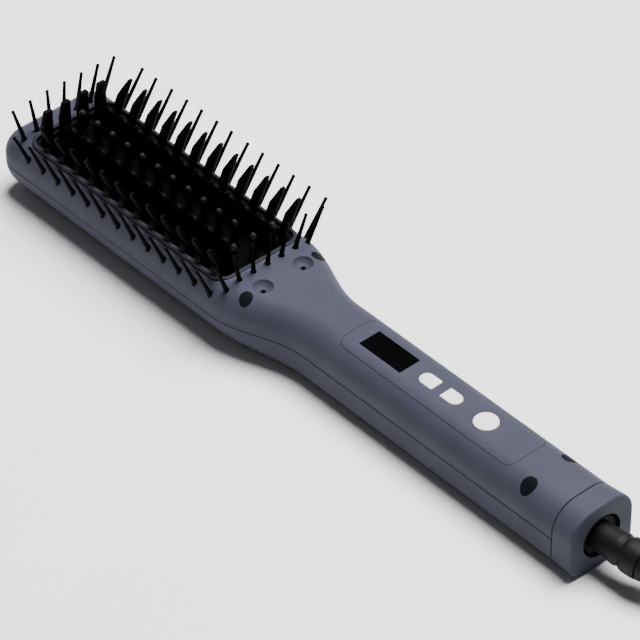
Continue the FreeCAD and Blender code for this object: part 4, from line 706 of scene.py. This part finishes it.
# ---- bristles
@dataclass
class Bristles:
    """Nylon pins outside the bed, fins on the frame and the heated comb's teeth."""

    rows: RowTree
    pitch: float = 7.38
    pin_radii: Flat = (0.85, 0.62)
    pin_sides: int = 10
    wobble: float = 0.012
    side_pins: int = 13
    side_length: float = 21.7
    side_row: Point = (14.1, 17.4, 14.6)
    side_rail: Flat = (1.3, 1.4)
    side_lean: float = 8.0
    side_splay: float = 25.8
    side_seed: int = 3
    end_pins: int = 7
    end_length: float = 19.8
    end_rail: Point = (1.3, 0.85, 0.65)
    end_seed: int = 11
    tip_row: Point = (8.3, 5.0, 18.6)
    tip_lean: float = 4.0
    tip_fan: float = 0.34
    neck_row: Point = (107.2, 4.9, 17.0)
    neck_lean: float = 6.0
    neck_fan: float = 0.42
    frame_top: float = 20.5
    fins: int = 12
    fin_start: float = 17.8
    fin_size: Point = (3.5, 1.6, 15.2)
    fin_root: float = 12.1
    fin_upright: float = 3.7
    fin_lean: float = 26.0
    fin_flat: float = 1.2
    fin_drop: float = 5.6
    fin_edge: float = 0.35
    tip_fins: int = 4
    tip_fin_row: Point = (13.2, -11.1, 7.4)
    tip_fin: Point = (2.1, 13.9, 3.0)
    tip_fin_edge: float = 0.3
    deck: float = 21.0
    teeth: int = 11
    cross_teeth: int = 3
    first_tooth: float = 18.6
    cross_row: Flat = (101.1, 8.0)
    post: Flat = (1.35, 8.6)
    post_foot: Flat = (0.35, 0.5)
    post_draft: float = 3.0
    post_edge: Flat = (0.98, 0.1)
    tooth_sides: int = 16
    tooth_tip: tuple[Flat, ...] = ((1.15, 0.0), (1.15, 0.7), (1.02, 1.25), (0.78, 1.65), (0.42, 1.92),
                                   (0.06, 2.0))
    blade: Point = (6.2, 1.6, 10.1)
    blade_corners: Four = (0.25, 0.25, 2.9, 2.9)
    blade_edge: float = 0.4
    blade_offset: float = 7.6

    def build(self) -> None:
        """Make every row of bristles and teeth."""
        self.make_side_pins()
        self.make_end_pins()
        self.make_fins()
        self.make_comb()

    def plant(self, name: str, part: Mesh, rows: list[Row], finish: Finish, rail: Mesh | None = None) -> None:
        """Make a piece of rows of one part, on a rail if it has one, for the CAD node of that name."""
        settle(self.rows.apply(f"{name}_skin", part, rows, finish, rail), Body.HOUSING, finish, name)

    def pin(self, length: float) -> Mesh:
        """One tapered pin with a ball end."""
        return turned("pin", ball_end(*self.pin_radii, length), self.pin_sides)

    def bar(self, x: Flat, y: Flat, z: Flat) -> Mesh:
        """Plain moulded rail that a row of pins stands on."""
        outline = rounded(x, y, (RAIL_CORNER,) * 4, 2)
        return stacked("rail", [[(px, py, pz) for px, py in outline] for pz in z])

    def make_side_pins(self) -> None:
        """Splayed pins along both sides, each row on its moulded rail."""
        station, offset, height = self.side_row
        half, deep = self.side_rail
        run = (self.side_pins - 1) * self.pitch
        for side, name in ((Side.NEAR, "near_pins"), (Side.FAR, "far_pins")):
            middle = side * offset
            rail = self.bar((TIP + station - half, TIP + station + run + half),
                            (middle - half, middle + half), (height - deep, height + deep))
            aim = (math.tan(math.radians(self.side_lean)),
                   side * math.tan(math.radians(self.side_splay)), 1.0)
            row = Row(self.side_pins, (TIP + station, middle, height), (self.pitch, 0.0, 0.0), aim,
                      wobble=self.wobble, seed=self.side_seed + side)
            self.plant(name, self.pin(self.side_length), [row], NYLON, rail)

    def make_end_pins(self) -> None:
        """Fanned pins across the tip and the neck."""
        ends = (("tip_pins", self.tip_row, self.tip_lean, self.tip_fan),
                ("neck_pins", self.neck_row, self.neck_lean, self.neck_fan))
        half, past, deep = self.end_rail
        for seed, (name, (station, pitch, height), lean, fan) in enumerate(ends, self.end_seed):
            reach = (self.end_pins - 1) / 2 * pitch
            rail = self.bar((TIP + station - half, TIP + station + half), (-reach - past, reach + past),
                            (height - deep, height + deep))
            row = Row(self.end_pins, (TIP + station, -reach, height), (0.0, pitch, 0.0),
                      (math.tan(math.radians(lean)), 0.0, 1.0), (0.0, fan, 0.0), self.wobble, seed)
            self.plant(name, self.pin(self.end_length), [row], NYLON, rail)

    def make_fins(self) -> None:
        """Frame ring with slanted fins along its sides and upright ones across the tip."""
        for side, name in ((Side.NEAR, "near_fins"), (Side.FAR, "far_fins")):
            row = Row(self.fins, (TIP + self.fin_start, side * self.fin_root, self.frame_top),
                      (self.pitch, 0.0, 0.0))
            self.plant(name, self.leaf(side), [row], NYLON)
        half, rise, flat = self.tip_fin
        outline = [(-half, 0.0), (half, 0.0), (half, rise), (half - flat, rise),
                   (-half, rise - self.fin_drop)]
        station, first, pitch = self.tip_fin_row
        fin = prism("tip_fin", outline, (0.0, self.fin_size[1]), Axis.X, self.tip_fin_edge)
        row = Row(self.tip_fins, (TIP + station, first, self.frame_top), (0.0, pitch, 0.0))
        self.plant("tip_fins", fin, [row], NYLON)
        dressed("bristle_frame", Body.HOUSING, NYLON)

    def leaf(self, side: Side) -> Mesh:
        """One slanted fin: upright root, outward lean, top cut on the slant towards the tip."""
        length, thick, rise = self.fin_size
        slope, shoulder = math.tan(math.radians(self.fin_lean)), rise - self.fin_drop
        loops = []
        for z in (0.0, self.fin_upright, shoulder, rise):
            low = 0.0 if z <= shoulder else length - self.fin_flat
            inner = side * max(0.0, z - self.fin_upright) * slope
            outer = inner + side * thick
            loops.append([(low, inner, z), (length, inner, z), (length, outer, z), (low, outer, z)])
        return bevelled(stacked("fin", loops, crease=0.0), self.fin_edge)

    def posts(self, level: float) -> list[Row]:
        """Row along the comb's middle and row across its neck end, at a level."""
        station, step = self.cross_row
        return [Row(self.teeth, (TIP + self.first_tooth, 0.0, level), (self.pitch, 0.0, 0.0)),
                Row(self.cross_teeth, (TIP + station, -step, level), (0.0, step, 0.0))]

    def make_comb(self) -> None:
        """Comb plate with posts along the middle and across the neck end, blades and tips."""
        dressed("heating_comb", Body.HOUSING, COMB)
        radius, height = self.post
        (flare, foot), (share, edge) = self.post_foot, self.post_edge
        taper = height * math.tan(math.radians(self.post_draft))
        post = turned("post", [(radius + flare, 0.0), (radius, foot), (radius - taper * share, height - edge),
                               (radius - taper, height)], self.tooth_sides)
        self.plant("comb_posts", post, self.posts(self.deck), COMB)
        tip = turned("tip", list(self.tooth_tip), self.tooth_sides)
        self.plant("tooth_tips", tip, self.posts(self.deck + height), TIPS)
        length, thick, rise = self.blade
        outline = rounded((0.0, length), (0.0, rise), self.blade_corners)
        start = self.first_tooth + self.pitch / 2 - length / 2
        for side, name in ((Side.NEAR, "near_blades"), (Side.FAR, "far_blades")):
            blade = prism("blade", outline, (-thick / 2, thick / 2), Axis.Y, self.blade_edge)
            row = Row(self.teeth, (TIP + start, side * self.blade_offset, self.deck), (self.pitch, 0.0, 0.0))
            self.plant(name, blade, [row], COMB)


# ---- controls
@dataclass(frozen=True)
class Key:
    """One push button: outline, stations and body."""

    name: str
    body: Body
    middle: float
    half: Flat
    radii: Four


@dataclass
class Controls:
    """Panel strip, display window and the three buttons."""

    window_span: Flat = (154.8, 172.8)
    window_half: float = 4.1
    window_corner: float = 0.4
    window_section: tuple[Flat, ...] = ((0.0, 22.3), (0.0, 23.44), (0.06, 23.5), (0.4, 23.5))
    flange: Point = (0.7, 20.4, 21.2)
    cap_top: float = 24.0
    crown: tuple[Flat, ...] = ((0.0, 0.1), (0.8, 0.04), (1.6, 0.0))
    stem: Flat = (17.9, 1.3)
    edge: float = 0.55
    least_corner: float = 0.12
    corner_steps: int = 6
    keys: tuple[Key, ...] = (
        Key("minus", Body.MINUS, 181.4, (3.4, 2.65), (2.5, 0.5, 0.5, 2.5)),
        Key("plus", Body.PLUS, 191.8, (3.4, 2.65), (0.5, 2.5, 2.5, 0.5)),
        Key("power", Body.POWER, 206.3, (4.1, 4.1), (4.05, 4.05, 4.05, 4.05)),
    )

    def build(self) -> None:
        """Dress the panel and window and make the buttons."""
        dressed("control_panel", Body.HOUSING, SHELL)
        self.make_window()
        for key in self.keys:
            self.make_key(key)

    def make_window(self) -> None:
        """Polished window with an eased edge."""
        low, high = (TIP + station for station in self.window_span)
        half, loops = self.window_half, []
        for inset, z in self.window_section:
            flat = rounded((low + inset, high - inset), (-half + inset, half - inset),
                           (self.window_corner,) * 4, 3)
            loops.append([(x, y, z) for x, y in flat])
        window = piece("display_window_skin", stacked("display_window_skin", loops, crease=20.0), WINDOW)
        settle(window, Body.HOUSING, WINDOW, "display_window")

    def make_key(self, key: Key) -> None:
        """Button cap with a soft edge and a slightly domed top, on its flange and stem."""
        (stem_floor, stem_radius), (grow, floor, top) = self.stem, self.flange
        centre, shoulder, steps = TIP + key.middle, self.cap_top - self.crown[0][1], 5
        layers = [(-grow, floor), (-grow, top), (0.0, top)]
        for step in range(steps + 1):
            angle = math.pi / 2 * step / steps
            layers.append((self.edge * (1 - math.cos(angle)), shoulder - self.edge * (1 - math.sin(angle))))
        layers += [(self.edge + inset, self.cap_top - drop) for inset, drop in self.crown[1:]]
        count = 4 * (self.corner_steps + 1)
        ring = [2 * math.pi * i / count - math.pi * 0.75 for i in range(count)]
        loops = [[(centre + stem_radius * math.cos(a), stem_radius * math.sin(a), z) for a in ring]
                 for z in (stem_floor, floor)]
        for inset, z in layers:
            half_x, half_y = key.half[0] - inset, key.half[1] - inset
            radii = tuple(max(r - inset, self.least_corner) for r in key.radii)
            flat = rounded((centre - half_x, centre + half_x), (-half_y, half_y), radii, self.corner_steps)
            loops.append([(x, y, z) for x, y in flat])
        name = f"{key.name}_button"
        made = piece(f"{name}_skin", stacked(f"{name}_skin", loops, crease=50.0), KEY)
        settle(made, key.body, KEY, name)


# ---- cord
@dataclass
class MainsCord:
    """Swivel hub, strain relief, the cord with its stored coil, and the plug."""

    radius: float = 3.0
    hub_face: Point = (127.2, 0.0, 11.75)
    guard_radii: tuple[float, float, float] = (4.7, 6.0, 3.5)
    guard_lead: float = 1.5
    guard_bend: Point = (60.0, 14.0, 20.0)
    guard_tail: float = 16.0
    guard_taper: float = 1.1
    guard_waist: Point = (10.2, 0.6, 0.9)
    guard_steps: int = 90
    guard_sides: int = 28
    grooves: int = 5
    groove_lead: float = 0.6
    groove_pitch: float = 2.7
    groove_walls: Four = (-0.45, -0.3, 0.3, 0.45)
    groove_half: float = 0.35
    groove_depth: float = 0.75
    lead: tuple[Point, ...] = ((161.0, 5.8, 9.6), (177.6, 9.7, 8.0), (187.9, 21.6, 3.2))
    tail: tuple[Point, ...] = ((187.1, 22.6, 22.4), (202.5, 35.0, 26.6), (223.3, 38.3, 29.6),
                               (241.4, 25.1, 31.5))
    plug: Point = (243.13, 14.06, 31.5)
    coil_centre: Flat = (218.0, 0.0)
    coil_radii: Flat = (37.0, 24.6)
    coil_start: float = 128.75
    coil_step: float = 22.5
    coil_pull: float = 0.981
    climb_swing: float = 0.5
    layer_steps: int = 32
    inner_ramp: tuple[float, int] = (115.0, 6)
    outer_ramp: tuple[float, int] = (92.5, 5)
    length: float = 1.84

    def build(self) -> None:
        """Make the swivel's outside, the guard, the cord and the plug."""
        # the hub's near-black finish is painted shade for the hole round the strain relief
        dressed("swivel_hub", Body.SWIVEL, HUB_PAINTED_SHADE)
        end, guard = self.make_guard()
        plug = dressed("plug_body", Body.SWIVEL, CORD)
        blades = dressed("plug_blades", Body.SWIVEL, BRASS)
        self.make_cord(end)

    def guard_path(self, way: float) -> tuple[Vector, Vector]:
        """Point and unit heading on the guard's centre line, some way from the hub's face."""
        bend, angle, dip = self.guard_bend
        ahead, fall = Vector((1, 0, 0)), math.radians(dip)
        aside = Vector((0, math.cos(fall), -math.sin(fall)))
        turned_by = min(max(way - self.guard_lead, 0.0) / bend, math.radians(angle))
        past = max(way - self.guard_lead - bend * math.radians(angle), 0.0)
        heading = ahead * math.cos(turned_by) + aside * math.sin(turned_by)
        place = Vector(self.hub_face) + ahead * min(way, self.guard_lead)
        place += ahead * bend * math.sin(turned_by) + aside * bend * (1 - math.cos(turned_by))
        return place + heading * past, heading

    def make_guard(self) -> tuple[Vector, Object]:
        """Strain relief: smooth neck, a broad collar behind a waist, and a grooved taper."""
        root, belly, tip = self.guard_radii
        curve = self.guard_lead + self.guard_bend[0] * math.radians(self.guard_bend[1])
        whole = curve + self.guard_tail
        waist, slim, width = self.guard_waist
        grooves = [curve + self.groove_lead + self.groove_pitch * i for i in range(self.grooves)]
        stations = sorted({whole * i / self.guard_steps for i in range(self.guard_steps + 1)} |
                          {g + wall for g in grooves for wall in self.groove_walls})
        ring = [2 * math.pi * i / self.guard_sides for i in range(self.guard_sides)]
        loops = []
        for way in (w for w in stations if w <= whole):
            share = way / curve if way < curve else (way - curve) / self.guard_tail
            ease = share * share * (3 - 2 * share)
            taper = share ** self.guard_taper
            size = root + (belly - root) * ease if way < curve else belly + (tip - belly) * taper
            size -= slim * math.exp(-((way - waist) / width) ** 2)
            if any(abs(way - g) < self.groove_half for g in grooves):
                size -= self.groove_depth
            place, heading = self.guard_path(way)
            across = heading.cross(Vector((0, 0, 1))).normalized()
            up = across.cross(heading)
            loops.append([tuple(place + across * size * math.cos(a) + up * size * math.sin(a)) for a in ring])
        guard = piece("cord_guard_skin", stacked("cord_guard_skin", loops, crease=40.0), CORD)
        settle(guard, Body.SWIVEL, CORD, "cord_guard")
        return self.guard_path(whole)[0], guard

    def route(self, end: Vector) -> list[Point]:
        """Control points: lead, four flat layers of two turns with climbs between them, and tail."""
        outer, inner = self.coil_radii
        angle, level = self.coil_start, self.radius
        points: list[Point] = [tuple(end), *self.lead, self.on_coil(angle, outer, level)]
        layers = ((outer, inner, self.inner_ramp), (inner, outer, self.outer_ramp),
                  (outer, inner, self.inner_ramp), (inner, outer, None))
        for first, last, ramp in layers:
            for i in range(1, self.layer_steps + 1):
                reach = first + (last - first) * i / self.layer_steps
                points.append(self.on_coil(angle - self.coil_step * i, reach, level))
            angle -= self.coil_step * self.layer_steps
            if ramp:
                points += self.climb(angle, last, level, ramp)
                angle -= ramp[0]
                level += 2 * self.radius
        return points + [*self.tail, self.plug]

    def climb(self, angle: float, reach: float, level: float, ramp: tuple[float, int]) -> list[Point]:
        """Control points from one layer up to the next, eased and swung off the turns beside them."""
        turn, count = ramp
        swing = -self.climb_swing if reach == min(self.coil_radii) else self.climb_swing
        points = []
        for i in range(1, count + 1):
            share = i / count
            rise = share * share * (3 - 2 * share)
            points.append(self.on_coil(angle - turn * share, reach + swing * math.sin(math.pi * share),
                                       level + 2 * self.radius * rise))
        return points

    def on_coil(self, angle: float, radius: float, height: float) -> Point:
        """Control point whose smooth curve passes at a radius of the coil."""
        reach = radius / self.coil_pull
        x, y = self.coil_centre
        return x + reach * math.cos(math.radians(angle)), y + reach * math.sin(math.radians(angle)), height

    def make_cord(self, end: Vector) -> None:
        """Round cord as one smooth spline."""
        points = self.route(end)
        data = bpy.data.curves.new("mains_cord", "CURVE")
        data.dimensions = "3D"
        data.resolution_u = 6
        data.bevel_depth = self.radius * MM
        data.bevel_resolution = 4
        data.use_fill_caps = True
        spline = data.splines.new("NURBS")
        spline.points.add(len(points) - 1)
        for target, place in zip(spline.points, points):
            target.co = (*(v * MM for v in place), 1.0)
        spline.order_u = 3
        spline.use_endpoint_u = True
        data.materials.append(CORD.material())
        cord = bpy.data.objects.new("mains_cord", data)
        bpy.context.scene.collection.objects.link(cord)
        settle(cord, Body.SWIVEL, CORD, "cord_lead", "cord_coil", "cord_tail")


# ---- inside
@dataclass
class Innards:
    """Everything inside the housing, each part in its own material."""

    pieces: tuple[tuple[Body, Finish, tuple[str, ...]], ...] = (
        (Body.HOUSING, ZINC, ("housing_screws", "heater_clamp", "clamp_screws", "thermal_fuse",
                              "emitter_needles")),
        (Body.HOUSING, FILM, ("heater_insulator",)),
        (Body.HOUSING, CERAMIC, ("heater_element", "temperature_sensor")),
        (Body.HOUSING, SHEET, ("heat_shield",)),
        (Body.HOUSING, INNER, ("ion_generator", "minus_switch", "plus_switch", "power_switch",
                               "swivel_retainer", "contact_block")),
        (Body.HOUSING, SHELL, ("near_ion_nozzle", "far_ion_nozzle")),
        (Body.HOUSING, BOARD, ("main_board",)),
        (Body.HOUSING, WINDOW, ("display_module",)),
        (Body.HOUSING, BRASS, ("contact_springs",)),
        (Body.HOUSING, SLEEVE, ("heater_wires", "supply_wires")),
        (Body.MINUS, INNER, ("minus_plunger",)),
        (Body.PLUS, INNER, ("plus_plunger",)),
        (Body.POWER, INNER, ("power_plunger",)),
        (Body.SWIVEL, BRASS, ("slip_rings",)),
    )

    def build(self) -> None:
        """Dress each hidden node."""
        for body, finish, nodes in self.pieces:
            for node in nodes:
                dressed(node, body, finish)


def main() -> None:
    """Build the stage and every sub-assembly in order."""
    logging.basicConfig(level=logging.INFO, format="%(name)s %(message)s")
    Studio().build()
    MainsCord().build()
    Housing().build()
    Bristles(RowTree()).build()
    Controls().build()
    Innards().build()


if __name__ == "__main__":
    main()
